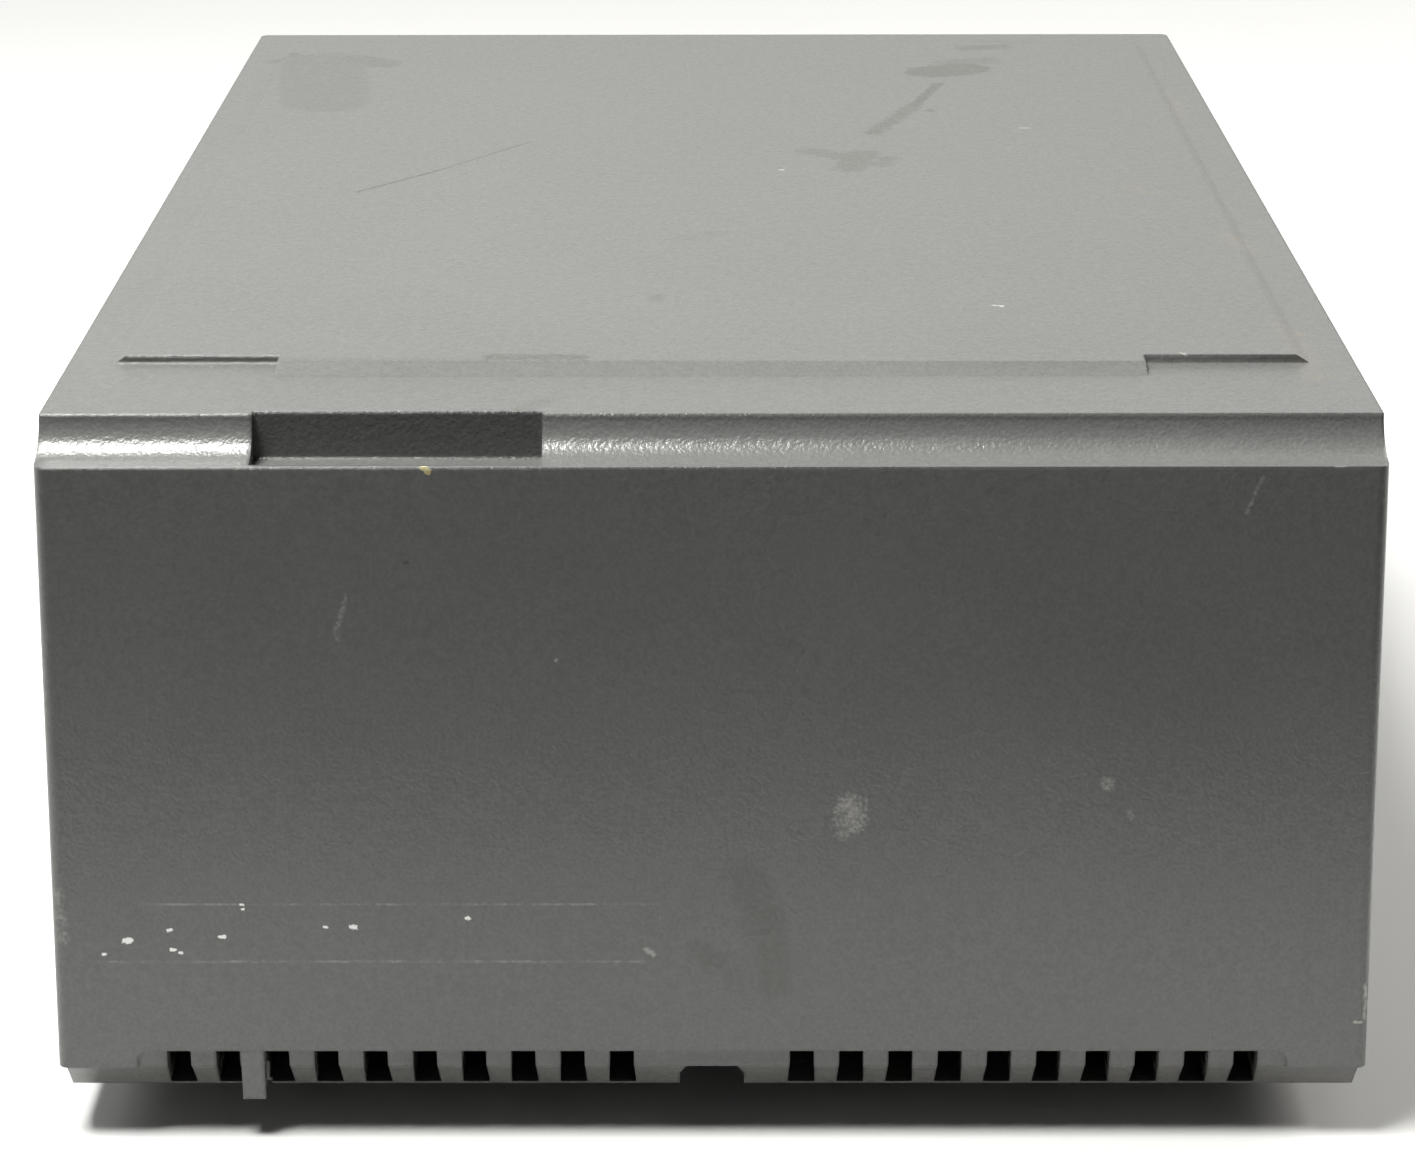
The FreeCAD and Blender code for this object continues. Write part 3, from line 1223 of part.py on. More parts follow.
def make_lamp():
    flange = rod("bezel_flange_disc", "Y", "bezel_radius", "bezel_flange", "lamp_x", PANEL_OUT, UPPER)
    sleeve = rod("bezel_sleeve", "Y", "bezel_tube", "bezel_deep", "lamp_x", f"{PANEL_OUT} - bezel_deep",
                 UPPER)
    bore = rod("bezel_bore", "Y", "lamp_radius", "bezel_deep + bezel_flange + 2", "lamp_x",
               f"{PANEL_OUT} - bezel_deep - 1", UPPER)
    node("lamp_bezel", cut("lamp_bezel", joined("bezel_solid", [flange, sleeve]), [bore]))
    dome_y = f"({PANEL_OUT} + bezel_flange + lamp_out - lamp_radius)"
    stem = rod("lamp_stem", "Y", "lamp_radius", "bezel_deep", "lamp_x", f"{dome_y} - bezel_deep", UPPER)
    dome = doc.addObject("Part::Sphere", "lamp_dome")
    bind(dome, Radius="lamp_radius")
    put(dome, "lamp_x", dome_y, UPPER)
    wires = []
    for side, label in (("-1", "left"), ("1", "right")):
        wires.append(rod("lamp_wire_" + label, "Y", "lamp_wire_radius", "lamp_wire_long",
                         f"lamp_x + {side} * lamp_wire_x", f"{dome_y} - bezel_deep - lamp_wire_long", UPPER))
    node("power_lamp", joined("power_lamp", [stem, dome] + wires))


EARTH_Z = "(foot_height + floor_thick + earth_up)"


def make_earth_stud():
    """Screw from outside, nut inside; the earth lead's ring lies between the nut and the panel."""
    bolt = screw("earth_bolt", "Y", "earth_x", PANEL_OUT, EARTH_Z, "earth_long", "earth_radius",
                 "earth_head", "head_height")
    low = f"({PANEL_IN} - ring_thick - earth_nut_thick)"
    nut = prism("earth_nut_blank", "Y", "earth_nut", "earth_nut_thick", "earth_x", low, EARTH_Z)
    bore = rod("earth_nut_bore", "Y", "earth_radius + thread_gap", "earth_nut_thick + 2", "earth_x",
               f"{low} - 1", EARTH_Z)
    node("earth_stud", group("earth_stud", [bolt, cut("earth_nut", nut, [bore])]))


# ----------------------------------------------------------- circuit board

def make_main_board():
    body = make_body("main_board")
    outline = sketch(body, "board_outline", "XY_Plane", BOARD)
    rectangle(outline, "board_left", "board_right", "board_front", "board_rear")
    pad(body, "board_sheet", outline, "board_thick")
    holes = sketch(body, "board_holes_outline", "XY_Plane", f"{BOARD_TOP} + 1")
    for x, y in board_holes():
        circle(holes, x, y, "small_screw_radius + hole_gap")
    pocket(body, "board_holes", holes, "board_thick + 2")
    node("main_board", body)

    screws = []
    for number, (x, y) in enumerate(board_holes()):
        head = rod(f"board_screw_head_{number}", "Z", "small_head_radius", "small_head_height",
                   x, y, BOARD_TOP)
        shank = rod(f"board_screw_shank_{number}", "Z", "small_screw_radius",
                    "board_thick + board_screw_down", x, y, f"{BOARD} - board_screw_down")
        screws.append(joined(f"board_screw_{number}", [head, shank]))
    node("board_screws", group("board_screws", screws))


def valve_pin_places():
    step = 360 / (VALVE_PINS + 1)
    places = []
    for number in range(VALVE_PINS):
        turn = step * (number + 1)
        x = f"valve_x + valve_pin_circle * sin({turn})"
        y = f"valve_y - valve_pin_circle * cos({turn})"
        places.append((x, y))
    return places


def make_valve():
    """Glass envelope with a domed top and exhaust tip, on a nine pin socket."""
    disc = rod("socket_disc", "Z", "socket_radius", "socket_high", "valve_x", "valve_y", BOARD_TOP)
    tools = [rod("socket_centre", "Z", "valve_pin_circle / 2", "socket_high + 2", "valve_x", "valve_y",
                 f"{BOARD_TOP} + 2")]
    pins = []
    glass_tools = []
    for number, (x, y) in enumerate(valve_pin_places()):
        down = f"{SOCKET_TOP} - valve_pin_down"
        tools.append(rod(f"socket_hole_{number}", "Z", "valve_pin_radius + valve_pin_gap",
                         "valve_pin_down + 2", x, y, f"{down} - 0.5"))
        pins.append(rod(f"valve_pin_{number}", "Z", "valve_pin_radius",
                        "valve_pin_down + valve_wall * 2 + valve_pin_up", x, y, down))
        glass_tools.append(rod(f"glass_hole_{number}", "Z", "valve_pin_radius", "valve_wall * 2 + 2", x, y,
                               f"{SOCKET_TOP} - 1"))
    node("valve_socket", cut("valve_socket", disc, tools))
    node("valve_pins", group("valve_pins", pins))

    outer = glass_bulb("glass_outer", "valve_radius", "valve_tall", SOCKET_TOP, tip=True)
    inner = glass_bulb("glass_inner", "valve_radius - valve_wall", "valve_tall - valve_wall * 3",
                       f"{SOCKET_TOP} + valve_wall * 2", tip=False)
    node("valve_glass", cut("valve_glass", outer, [inner] + glass_tools))

    low = f"({SOCKET_TOP} + valve_wall * 2 + valve_pin_up)"
    pieces = [rod(f"mica_{level}", "Z", "mica_radius", "mica_thick", "valve_x", "valve_y", z)
              for level, z in (("low", low), ("high", f"{low} + mica_thick + anode_tall"))]
    for side in ("-1", "1"):
        middle = f"valve_x + {side} * anode_wide * 0.6"
        pieces.append(block_at("anode_" + ("left" if side == "-1" else "right"), middle, "anode_wide",
                               ("valve_y - anode_deep / 2", "valve_y + anode_deep / 2"),
                               (f"{low} + mica_thick", f"{low} + mica_thick + anode_tall")))
    pieces.append(rod("getter_post", "Z", "getter_radius", "getter_tall", "valve_x", "valve_y",
                      f"{low} + mica_thick * 2 + anode_tall"))
    node("valve_electrodes", joined("valve_electrodes", pieces))


def glass_bulb(name, radius, tall, low, tip):
    """A cylinder with a half-round top, with a small cone on it where it was sealed off."""
    barrel = rod(name + "_barrel", "Z", radius, f"{tall} - ({radius})", "valve_x", "valve_y", low)
    dome = doc.addObject("Part::Sphere", name + "_dome")
    bind(dome, Radius=radius)
    put(dome, "valve_x", "valve_y", f"{low} + {tall} - ({radius})")
    pieces = [barrel, dome]
    if tip:
        cone = doc.addObject("Part::Cone", name + "_tip")
        bind(cone, Radius1="valve_tip * 0.8", Radius2="valve_tip * 0.2", Height="valve_tip + 1")
        put(cone, "valve_x", "valve_y", f"{low} + {tall} - 1")
        pieces.append(cone)
    return joined(name, pieces)


def make_capacitors():
    drums = []
    for number in range(FILTER_CAPACITORS):
        x = f"capacitor_x + {number} * capacitor_pitch"
        drums.append(rod(f"filter_capacitor_{number}", "Z", "capacitor_radius", "capacitor_tall",
                         x, "capacitor_y", BOARD_TOP))
    node("filter_capacitors", group("filter_capacitors", drums))

    films = []
    for number in range(FILM_CAPACITORS):
        x = f"film_x + {number} * film_pitch"
        films.append(block_at(f"film_{number}", x, "film_wide", ("film_y", "film_y + film_deep"),
                              (BOARD_TOP, f"{BOARD_TOP} + film_tall")))
    node("coupling_capacitors", group("coupling_capacitors", films))


def make_resistors():
    """Each resistor's barrel rides on one wire that is bent down into the board at both ends."""
    resistors = []
    left, right, height = "resistor_x", "(resistor_x + resistor_long)", f"({BOARD_TOP} + resistor_up)"
    for number in range(RESISTORS):
        y = f"(resistor_y + {number} * resistor_pitch)"
        barrel = rod(f"resistor_barrel_{number}", "X", "resistor_radius", "resistor_long", left, y, height)
        wire = lead_tubes(f"resistor_wire_{number}", [[
            spot(f"{left} - resistor_up", y, BOARD_TOP),
            spot(f"{left} - resistor_up", y, height),
            spot(f"{right} + resistor_up", y, height),
            spot(f"{right} + resistor_up", y, BOARD_TOP),
        ]], "resistor_lead")
        resistors.append(joined(f"resistor_{number}", [barrel, wire]))
    node("resistors", group("resistors", resistors))


def make_power_supply():
    """A rectifier, and a regulator that stands against a finned heat sink."""
    bridge = block_at("bridge_rectifier", "bridge_x", "bridge_wide", ("bridge_y", "bridge_y + bridge_deep"),
                      (BOARD_TOP, f"{BOARD_TOP} + bridge_tall"))
    node("bridge_rectifier", bridge)

    tall = (BOARD_TOP, f"{BOARD_TOP} + sink_tall")
    pieces = [block_at("sink_plate", "sink_x", "sink_wide", ("sink_y", "sink_y + sink_web"), tall)]
    for number in range(SINK_FINS):
        x = f"sink_x + ({number} - {(SINK_FINS - 1) / 2}) * sink_fin_pitch"
        pieces.append(block_at(f"sink_fin_{number}", x, "sink_fin_thick",
                               ("sink_y + sink_web", "sink_y + sink_web + sink_fin"), tall))
    node("heat_sink", joined("heat_sink", pieces))

    low = f"{BOARD_TOP} + regulator_up"
    parts = [block_at("regulator_package", "sink_x", "regulator_wide",
                      ("sink_y - regulator_thick", "sink_y"), (low, f"{low} + regulator_tall"))]
    middle = "sink_y - regulator_thick / 2"
    for number in range(-1, 2):
        x = f"sink_x + ({number}) * regulator_leg_pitch"
        parts.append(block_at(f"regulator_leg_{number + 1}", x, "regulator_leg_wide",
                              (f"{middle} - regulator_leg_thick / 2", f"{middle} + regulator_leg_thick / 2"),
                              (BOARD_TOP, low)))
    node("regulator", joined("regulator", parts))


def make_board_parts():
    make_capacitors()
    make_resistors()
    make_power_supply()
    node("output_transformer", rod("can_drum", "Z", "can_radius", "can_tall", "can_x", "can_y", BOARD_TOP))
    sockets = []
    for label in ("in", "out", "power"):
        y = f"plug_{label}_y"
        sockets.append(block_at(f"{label}_connector", f"plug_{label}_x", "connector_wide",
                                (y, f"{y} + connector_deep"), (BOARD_TOP, f"{BOARD_TOP} + connector_tall")))
    node("wire_connectors", group("wire_connectors", sockets))


# ------------------------------------------------------- mains transformer

def make_transformer():
    """Laminated core with two windows; the bobbin rides on its middle limb."""
    half_stack = "(core_stack / 2)"
    x = (f"core_x - {half_stack}", f"core_x + {half_stack}")
    stack = block("core_stack_block", x, (f"core_y - {CORE_HALF}", f"core_y + {CORE_HALF}"),
                  (CORE_LOW, f"{CORE_LOW} + {CORE_TALL}"))
    windows = []
    for side, label in (("-1", "front"), ("1", "rear")):
        near = f"core_y + {side} * core_module"
        far = f"core_y + {side} * core_module * 2"
        y = (far, near) if side == "-1" else (near, far)
        windows.append(block("core_window_" + label, (f"{x[0]} - 1", f"{x[1]} + 1"), y,
                             (f"{CORE_LOW} + core_module", f"{CORE_LOW} + core_module * 4")))
    node("transformer_core", cut("transformer_core", stack, windows))

    low = f"({CORE_LOW} + core_module + bobbin_gap)"
    high = f"({CORE_LOW} + core_module * 4 - bobbin_gap)"
    reach = "(core_module * 2 - bobbin_gap)"
    hole = ("core_stack + bobbin_gap * 2", "core_module * 2 + bobbin_gap * 2")
    wall = "(bobbin_gap + bobbin_wall) * 2"
    sleeve = (f"core_stack + {wall}", f"core_module * 2 + {wall}")

    def column(name, wide, deep, z):
        return block_at(name, "core_x", wide, (f"core_y - ({deep}) / 2", f"core_y + ({deep}) / 2"), z)

    spool = [
        column("bobbin_tube", *sleeve, (low, high)),
        column("bobbin_low_cheek", f"{reach} * 2", f"{reach} * 2", (low, f"{low} + bobbin_wall")),
        column("bobbin_high_cheek", f"{reach} * 2", f"{reach} * 2", (f"{high} - bobbin_wall", high)),
    ]
    limb = column("bobbin_hole", *hole, (f"{low} - 1", f"{high} + 1"))
    node("transformer_bobbin", cut("transformer_bobbin", joined("bobbin_solid", spool), [limb]))
    coil_z = (f"{low} + bobbin_wall", f"{high} - bobbin_wall")
    coil = column("winding_block", f"({reach} - coil_gap) * 2", f"({reach} - coil_gap) * 2", coil_z)
    centre = column("winding_hole", *sleeve, (low, high))
    node("transformer_winding", cut("transformer_winding", coil, [centre]))

    make_strap()
    screws = []
    for side, label in (("-1", "front"), ("1", "rear")):
        y = f"core_y + {side} * {STRAP_HOLE}"
        head = rod(f"strap_screw_head_{label}", "Z", "head_radius", "head_height", "core_x", y,
                   f"{CORE_LOW} + strap_thick")
        shank = rod(f"strap_screw_shank_{label}", "Z", "screw_radius", "strap_thick + strap_screw_down",
                    "core_x", y, f"{CORE_LOW} - strap_screw_down")
        screws.append(joined("strap_screw_" + label, [head, shank]))
    node("transformer_screws", group("transformer_screws", screws))


def make_strap():
    """A steel strap bent over the core, with a foot at each end."""
    body = make_body("transformer_strap")
    side = sketch(body, "strap_outline", "YZ_Plane", "core_x")
    foot = f"({CORE_HALF} + strap_thick + strap_foot)"
    outer = f"({CORE_HALF} + strap_thick)"
    top = f"({CORE_LOW} + {CORE_TALL})"
    polygon(side, [
        (f"core_y - {foot}", CORE_LOW),
        (f"core_y - {CORE_HALF}", CORE_LOW),
        (f"core_y - {CORE_HALF}", top),
        (f"core_y + {CORE_HALF}", top),
        (f"core_y + {CORE_HALF}", CORE_LOW),
        (f"core_y + {foot}", CORE_LOW),
        (f"core_y + {foot}", f"{CORE_LOW} + strap_thick"),
        (f"core_y + {outer}", f"{CORE_LOW} + strap_thick"),
        (f"core_y + {outer}", f"{top} + strap_thick"),
        (f"core_y - {outer}", f"{top} + strap_thick"),
        (f"core_y - {outer}", f"{CORE_LOW} + strap_thick"),
        (f"core_y - {foot}", f"{CORE_LOW} + strap_thick"),
    ])
    pad(body, "strap_band", side, "core_stack - strap_inset", both=True)
    holes = sketch(body, "strap_holes_outline", "XY_Plane", f"{CORE_LOW} + strap_thick + 1")
    for sign in ("1", "-1"):
        circle(holes, "core_x", f"core_y + {sign} * {STRAP_HOLE}", "screw_radius + hole_gap")
    pocket(body, "strap_holes", holes, "strap_thick + 2")
    node("transformer_strap", body)


# ------------------------------------------------------------------- leads

def arc_path(points):
    """Straight runs through the points, joined by tangent arcs as large as the runs allow."""
    edges = []
    start = points[0]
    for before, corner, after in zip(points, points[1:], points[2:]):
        arriving = (corner - before).normalize()
        leaving = (after - corner).normalize()
        turn = arriving.getAngle(leaving)
        shorter = min((corner - before).Length, (after - corner).Length)
        radius = 0.45 * shorter / math.tan(turn / 2)
        cut_back = radius * math.tan(turn / 2)
        enter = corner - arriving * cut_back
        leave = corner + leaving * cut_back
        inward = (leaving - arriving).normalize()
        crown = corner + inward * (radius / math.cos(turn / 2) - radius)
        edges.append(Part.LineSegment(start, enter).toShape())
        edges.append(Part.Arc(enter, crown, leave).toShape())
        start = leave
    edges.append(Part.LineSegment(start, points[-1]).toShape())
    return Part.Wire(edges)


def tube(points, radius):
    """A round lead along the points."""
    path = arc_path(points)
    section = Part.Wire(Part.makeCircle(radius, points[0], points[1] - points[0]))
    solid = path.makePipeShell([section], True, False)
    wanted = math.pi * radius ** 2 * path.Length
    if abs(solid.Volume / wanted - 1) > 0.01:
        raise RuntimeError("a lead's volume doesn't match its length")
    return solid


def spot(x, y, z):
    return V(size(x), size(y), size(z))


def lead_tubes(name, routes, radius="lead_radius"):
    thing = doc.addObject("Part::Feature", name)
    thing.Shape = Part.makeCompound([tube(points, size(radius)) for points in routes])
    thing.Placement = FreeCAD.Placement()
    return thing


def leads(name, routes):
    node(name, lead_tubes(name, routes))


def make_leads():
    inlet_tail = f"({PANEL_OUT} - inlet_body_deep - tag_length)"
    switch_tail = f"({PANEL_OUT} - switch_deep - tag_length)"
    routes = []
    for blade, side in (("live", "-1"), ("neutral", "1")):
        x, z = inlet_blades()[blade]
        tag_x = f"inlet_x + {side} * switch_tag_x"
        routes.append([
            spot(x, inlet_tail, z),
            spot(x, f"{inlet_tail} - 9", z),
            spot(f"({x} + {tag_x}) / 2", f"{inlet_tail} - 9", f"({z} + {UPPER} - switch_tag_z) / 2"),
            spot(tag_x, f"{switch_tail} - 9", f"{UPPER} - switch_tag_z"),
            spot(tag_x, switch_tail, f"{UPPER} - switch_tag_z"),
        ])
    leads("mains_leads", routes)

    coil_side = "(core_module * 2 - bobbin_gap - coil_gap)"
    routes = []
    for number, side in enumerate(("-1", "1")):
        end_z = f"({CORE_LOW} + core_module * 2 + {number} * 6)"
        lane = "(core_x + core_stack / 2 + 3)"
        routes.append([
            spot(f"inlet_x + {side} * switch_tag_x", switch_tail, f"{UPPER} + switch_tag_z"),
            spot(f"inlet_x + {side} * switch_tag_x", f"{switch_tail} - 14", f"{UPPER} + switch_tag_z"),
            spot(f"{lane} + {number} * 2", f"{switch_tail} - 38", f"{UPPER} - 4"),
            spot(lane, "core_y + 46", f"{end_z} + 12"),
            spot(lane, "core_y + 32", end_z),
            spot(lane, f"core_y + {coil_side}", end_z),
        ])
    leads("primary_leads", routes)

    connector_top = f"({BOARD_TOP} + connector_tall)"
    routes = []
    for number in range(2):
        z = f"({CORE_LOW} + core_module * 2 + {number} * 5)"
        x = "(core_x - core_stack / 2 - 3)"
        end_x = f"(plug_power_x + 2 - {number} * 4)"
        routes.append([
            spot(x, f"core_y - {coil_side}", z),
            spot(x, f"core_y - {coil_side} - 10", z),
            spot(f"{x} - 14", f"core_y - {coil_side} - 17", f"{z} + 9"),
            spot(end_x, "plug_power_y + connector_deep / 2", f"{connector_top} + 9"),
            spot(end_x, "plug_power_y + connector_deep / 2", connector_top),
        ])
    leads("secondary_leads", routes)

    pin_tail = f"({PANEL_OUT} - xlr_deep + insert_back - pin_back)"
    routes = []
    for number in range(3):
        turn = 90 + 120 * number
        x = f"(xlr_x + pin_circle * cos({turn}))"
        z = f"({LOWER} - pin_circle * sin({turn}))"
        end_x = f"(plug_out_x + {(0, -3.5, 3.5)[number]})"
        routes.append([
            spot(x, pin_tail, z),
            spot(x, f"{pin_tail} - 6", z),
            spot(f"({x} + {end_x}) / 2", f"{pin_tail} - 10", f"{z} + 5"),
            spot(end_x, "plug_out_y + connector_deep / 2", f"{connector_top} + 8"),
            spot(end_x, "plug_out_y + connector_deep / 2", connector_top),
        ])
    leads("output_leads", routes)

    jack_tail = f"({PANEL_IN} - jack_deep - 4)"
    routes = []
    ends = [(jack, side) for jack in ("input_x", "link_x") for side in ("-1", "1")]
    for number, (jack, side) in enumerate(ends):
        x = f"({jack} + {side} * (jack_wide / 2 - jack_wall - contact_thick / 2))"
        end_x = f"(plug_in_x + {(1.4, 4.2, -4.2, -1.4)[number]})"
        routes.append([
            spot(x, jack_tail, LOWER),
            spot(x, f"{jack_tail} - 7", LOWER),
            spot(end_x, "plug_in_y + connector_deep / 2", f"{connector_top} + 10"),
            spot(end_x, "plug_in_y + connector_deep / 2", connector_top),
        ])
    leads("input_leads", routes)


def make_earth_lead():
    """From the inlet's earth tag to a ring under the earth nut."""
    x, z = inlet_blades()["earth"]
    inlet_tail = f"({PANEL_OUT} - inlet_body_deep - tag_length)"
    ring = rod("ring_disc", "Y", "ring_radius", "ring_thick", "earth_x", f"{PANEL_IN} - ring_thick", EARTH_Z)
    hole = rod("ring_hole", "Y", "earth_radius + thread_gap", "ring_thick + 2", "earth_x",
               f"{PANEL_IN} - ring_thick - 1", EARTH_Z)
    neck = block_at("ring_neck", "earth_x", "ring_neck", (f"{PANEL_IN} - ring_thick", PANEL_IN),
                    (f"{EARTH_Z} + ring_radius - 0.6", f"{EARTH_Z} + ring_radius + 1.4"))
    high = f"({EARTH_Z} + ring_radius + 5.8)"
    barrel = block_at("ring_barrel", "earth_x", "ring_neck", (f"{PANEL_IN} - ring_neck", PANEL_IN),
                      (f"{EARTH_Z} + ring_radius + 0.8", high))
    terminal = cut("earth_ring", joined("ring_solid", [ring, neck, barrel]), [hole])
    wire = lead_tubes("earth_wire", [[
        spot(x, inlet_tail, z),
        spot(x, f"{inlet_tail} - 5", z),
        spot(f"{x} + 7", f"{inlet_tail} - 6", f"{z} + 6"),
        spot(f"{x} + 17", f"{inlet_tail} + 2", f"{z} + 15"),
        spot("earth_x - 10", f"{PANEL_IN} - 13", f"{high} + 4"),
        spot("earth_x - 5", f"{PANEL_IN} - 6", f"{high} + 7.5"),
        spot("earth_x", f"{PANEL_IN} - 1.5", f"{high} + 7"),
        spot("earth_x", f"{PANEL_IN} - 1.5", high),
    ]], "earth_lead_radius")
    node("earth_lead", group("earth_lead", [wire, terminal]))


# -------------------------------------------------------------------- run

def check_and_write():
    doc.recompute()
    for thing in doc.Objects:
        if "Invalid" in thing.State or "Error" in thing.State:
            raise RuntimeError(f"{thing.Name} did not build: {thing.State}")
    os.makedirs("parts", exist_ok=True)
    for name, thing in NODES.items():
        if thing.Shape.isNull() or not thing.Shape.isValid():
            raise RuntimeError(f"{name} has no valid shape")
    for name, thing in NODES.items():
        thing.Shape.exportStep(f"parts/{name}.step")


sheet = make_sheet()
make_top_cover()
make_base_pan()
make_feet()
make_cover_screws()
make_rear_panel()
make_panel_screws()
make_mains_inlet()
make_inlet_pins()
make_inlet_screws()
make_fuse_drawer()
make_power_switch()
make_power_rocker()
make_output_connector()
make_jack("input_jack", "input_x")
make_jack("link_jack", "link_x")
make_slide_switches()
make_lamp()
make_earth_stud()
make_main_board()
make_valve()
make_board_parts()
make_transformer()
make_leads()
make_earth_lead()
check_and_write()
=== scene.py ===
import json
import math

import bmesh
import bpy
import numpy as np
from mathutils import Matrix, Vector


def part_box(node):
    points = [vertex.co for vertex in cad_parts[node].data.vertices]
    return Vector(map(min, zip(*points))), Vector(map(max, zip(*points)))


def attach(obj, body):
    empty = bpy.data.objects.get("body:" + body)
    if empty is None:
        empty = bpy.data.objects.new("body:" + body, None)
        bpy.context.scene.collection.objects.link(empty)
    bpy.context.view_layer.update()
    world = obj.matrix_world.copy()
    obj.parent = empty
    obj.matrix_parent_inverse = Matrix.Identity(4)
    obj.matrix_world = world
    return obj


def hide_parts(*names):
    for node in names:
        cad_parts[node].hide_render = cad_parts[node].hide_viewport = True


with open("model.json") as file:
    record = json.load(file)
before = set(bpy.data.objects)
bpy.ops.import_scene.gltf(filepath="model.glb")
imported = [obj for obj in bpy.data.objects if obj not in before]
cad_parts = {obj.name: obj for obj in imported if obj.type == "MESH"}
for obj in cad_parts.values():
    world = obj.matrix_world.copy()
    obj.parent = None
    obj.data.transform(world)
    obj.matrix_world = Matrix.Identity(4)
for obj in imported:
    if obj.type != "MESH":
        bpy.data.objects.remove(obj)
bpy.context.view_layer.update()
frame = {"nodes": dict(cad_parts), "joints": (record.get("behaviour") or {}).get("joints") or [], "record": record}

MM = 0.001
NODES = frame["nodes"]
BODY_OF = {name: body for body, names in frame["record"]["behaviour"]["bodies"].items() for name in names}


# ================================================================ shader nodes

def add(tree, kind, inputs=(), **settings):
    """A shader node; each input is set to a value or joined to a socket."""
    made = tree.nodes.new("ShaderNode" + kind)
    for name, value in settings.items():
        setattr(made, name, value)
    for key, value in dict(inputs).items():
        join(tree, value, made.inputs[key])
    return made


def join(tree, value, socket):
    """Links a socket to another one, or sets it to a plain value."""
    if isinstance(value, bpy.types.NodeSocket):
        tree.links.new(value, socket)
    else:
        socket.default_value = value


def calc(tree, operation, *values, clamp=False):
    """The result of a sum on one or more values."""
    return add(tree, "Math", dict(enumerate(values)), operation=operation, use_clamp=clamp).outputs[0]


def vector(tree, operation, *values):
    """The result of a sum on vectors, which is a plain number for a length or a dot product."""
    made = add(tree, "VectorMath", dict(enumerate(values)), operation=operation)
    return made.outputs["Value"] if operation in ("DOT_PRODUCT", "LENGTH", "DISTANCE") else made.outputs[0]


def remap(tree, value, low, high, to_low=0.0, to_high=1.0):
    """A value moved from one range to another, and kept inside it."""
    return add(tree, "MapRange", {0: value, 1: low, 2: high, 3: to_low, 4: to_high}).outputs[0]


def blend_color(tree, factor, first, second, kind="MIX"):
    """Two colours mixed by a factor. A mix node's colour sockets come after its plain ones."""
    made = add(tree, "Mix", {0: factor}, data_type="RGBA", blend_type=kind)
    join(tree, first, made.inputs[6])
    join(tree, second, made.inputs[7])
    return made.outputs[2]


def places(tree):
    """Object coordinates, in metres."""
    return add(tree, "TexCoord").outputs["Object"]


def noise_at(tree, where, scale, detail=2.0, roughness=0.5):
    """Noise at a scale, which may itself come from a socket."""
    made = add(tree, "TexNoise", {"Vector": where, "Scale": scale, "Detail": detail,
                                  "Roughness": roughness})
    return made.outputs[0]


def noise(tree, where, size, detail=2.0, roughness=0.5):
    """Noise whose lumps are about a size across, in the units of the place."""
    return noise_at(tree, where, 1.0 / size, detail, roughness)


def new_group(name, inputs, outputs):
    """An empty node group with typed, named inputs and outputs."""
    tree = bpy.data.node_groups.new(name, "ShaderNodeTree")
    for label, value in inputs.items():
        kind = "NodeSocketVector" if isinstance(value, tuple) else "NodeSocketFloat"
        socket = tree.interface.new_socket(label, in_out="INPUT", socket_type=kind)
        socket.default_value = value
    for label, kind in outputs.items():
        tree.interface.new_socket(label, in_out="OUTPUT", socket_type="NodeSocket" + kind)
    given = tree.nodes.new("NodeGroupInput").outputs
    put = tree.nodes.new("NodeGroupOutput").inputs
    return tree, given, put


def use(tree, group, inputs=()):
    """A node group placed in a material with its own values; gives its outputs."""
    made = tree.nodes.new("ShaderNodeGroup")
    made.node_tree = group
    for key, value in dict(inputs).items():
        join(tree, value, made.inputs[key])
    return made.outputs


def grain_group():
    """Fine lumps all over, such as orange peel or spark texture, as a bumped normal."""
    tree, given, put = new_group(
        "surface_grain", {"Size": 0.0005, "Depth": 0.00003, "Normal": (0.0, 0.0, 0.0)},
        {"Normal": "Vector", "Lumps": "Float"})
    where = places(tree)
    scale = calc(tree, "DIVIDE", 1.0, given["Size"])
    fine = noise_at(tree, where, scale, detail=1.5)
    coarse = noise_at(tree, where, calc(tree, "MULTIPLY", scale, 0.37), detail=1.0)
    lumps = calc(tree, "ADD", calc(tree, "MULTIPLY", fine, 0.7), calc(tree, "MULTIPLY", coarse, 0.3))
    bump = add(tree, "Bump", {"Strength": 1.0, "Distance": given["Depth"], "Height": lumps,
                              "Normal": given["Normal"]})
    join(tree, bump.outputs[0], put["Normal"])
    join(tree, lumps, put["Lumps"])
    return tree


def edge_group():
    """Where the surface turns sharply: a rounded normal, and a broken-up mask along the edge, for wear and, on the
    cover, partly for a painted highlight.
    """
    tree, given, put = new_group("worn_and_highlit_edge", {"Radius": 0.0004, "Edge Amount": 0.5, "Patch": 0.004},
                                 {"Normal": "Vector", "Mask": "Float"})
    soft = add(tree, "Bevel", {"Radius": given["Radius"]}, samples=4).outputs[0]
    true = add(tree, "NewGeometry").outputs["True Normal"]
    turn = calc(tree, "SUBTRACT", 1.0, vector(tree, "DOT_PRODUCT", soft, true))
    edge = remap(tree, turn, 0.02, 0.16)
    scale = calc(tree, "DIVIDE", 1.0, given["Patch"])
    patch = noise_at(tree, places(tree), scale, detail=4.0, roughness=0.65)
    floor_level = calc(tree, "SUBTRACT", 0.78, calc(tree, "MULTIPLY", given["Edge Amount"], 0.45))
    broken = remap(tree, calc(tree, "SUBTRACT", patch, floor_level), 0.0, 0.06)
    join(tree, soft, put["Normal"])
    join(tree, calc(tree, "MULTIPLY", edge, broken, clamp=True), put["Mask"])
    return tree


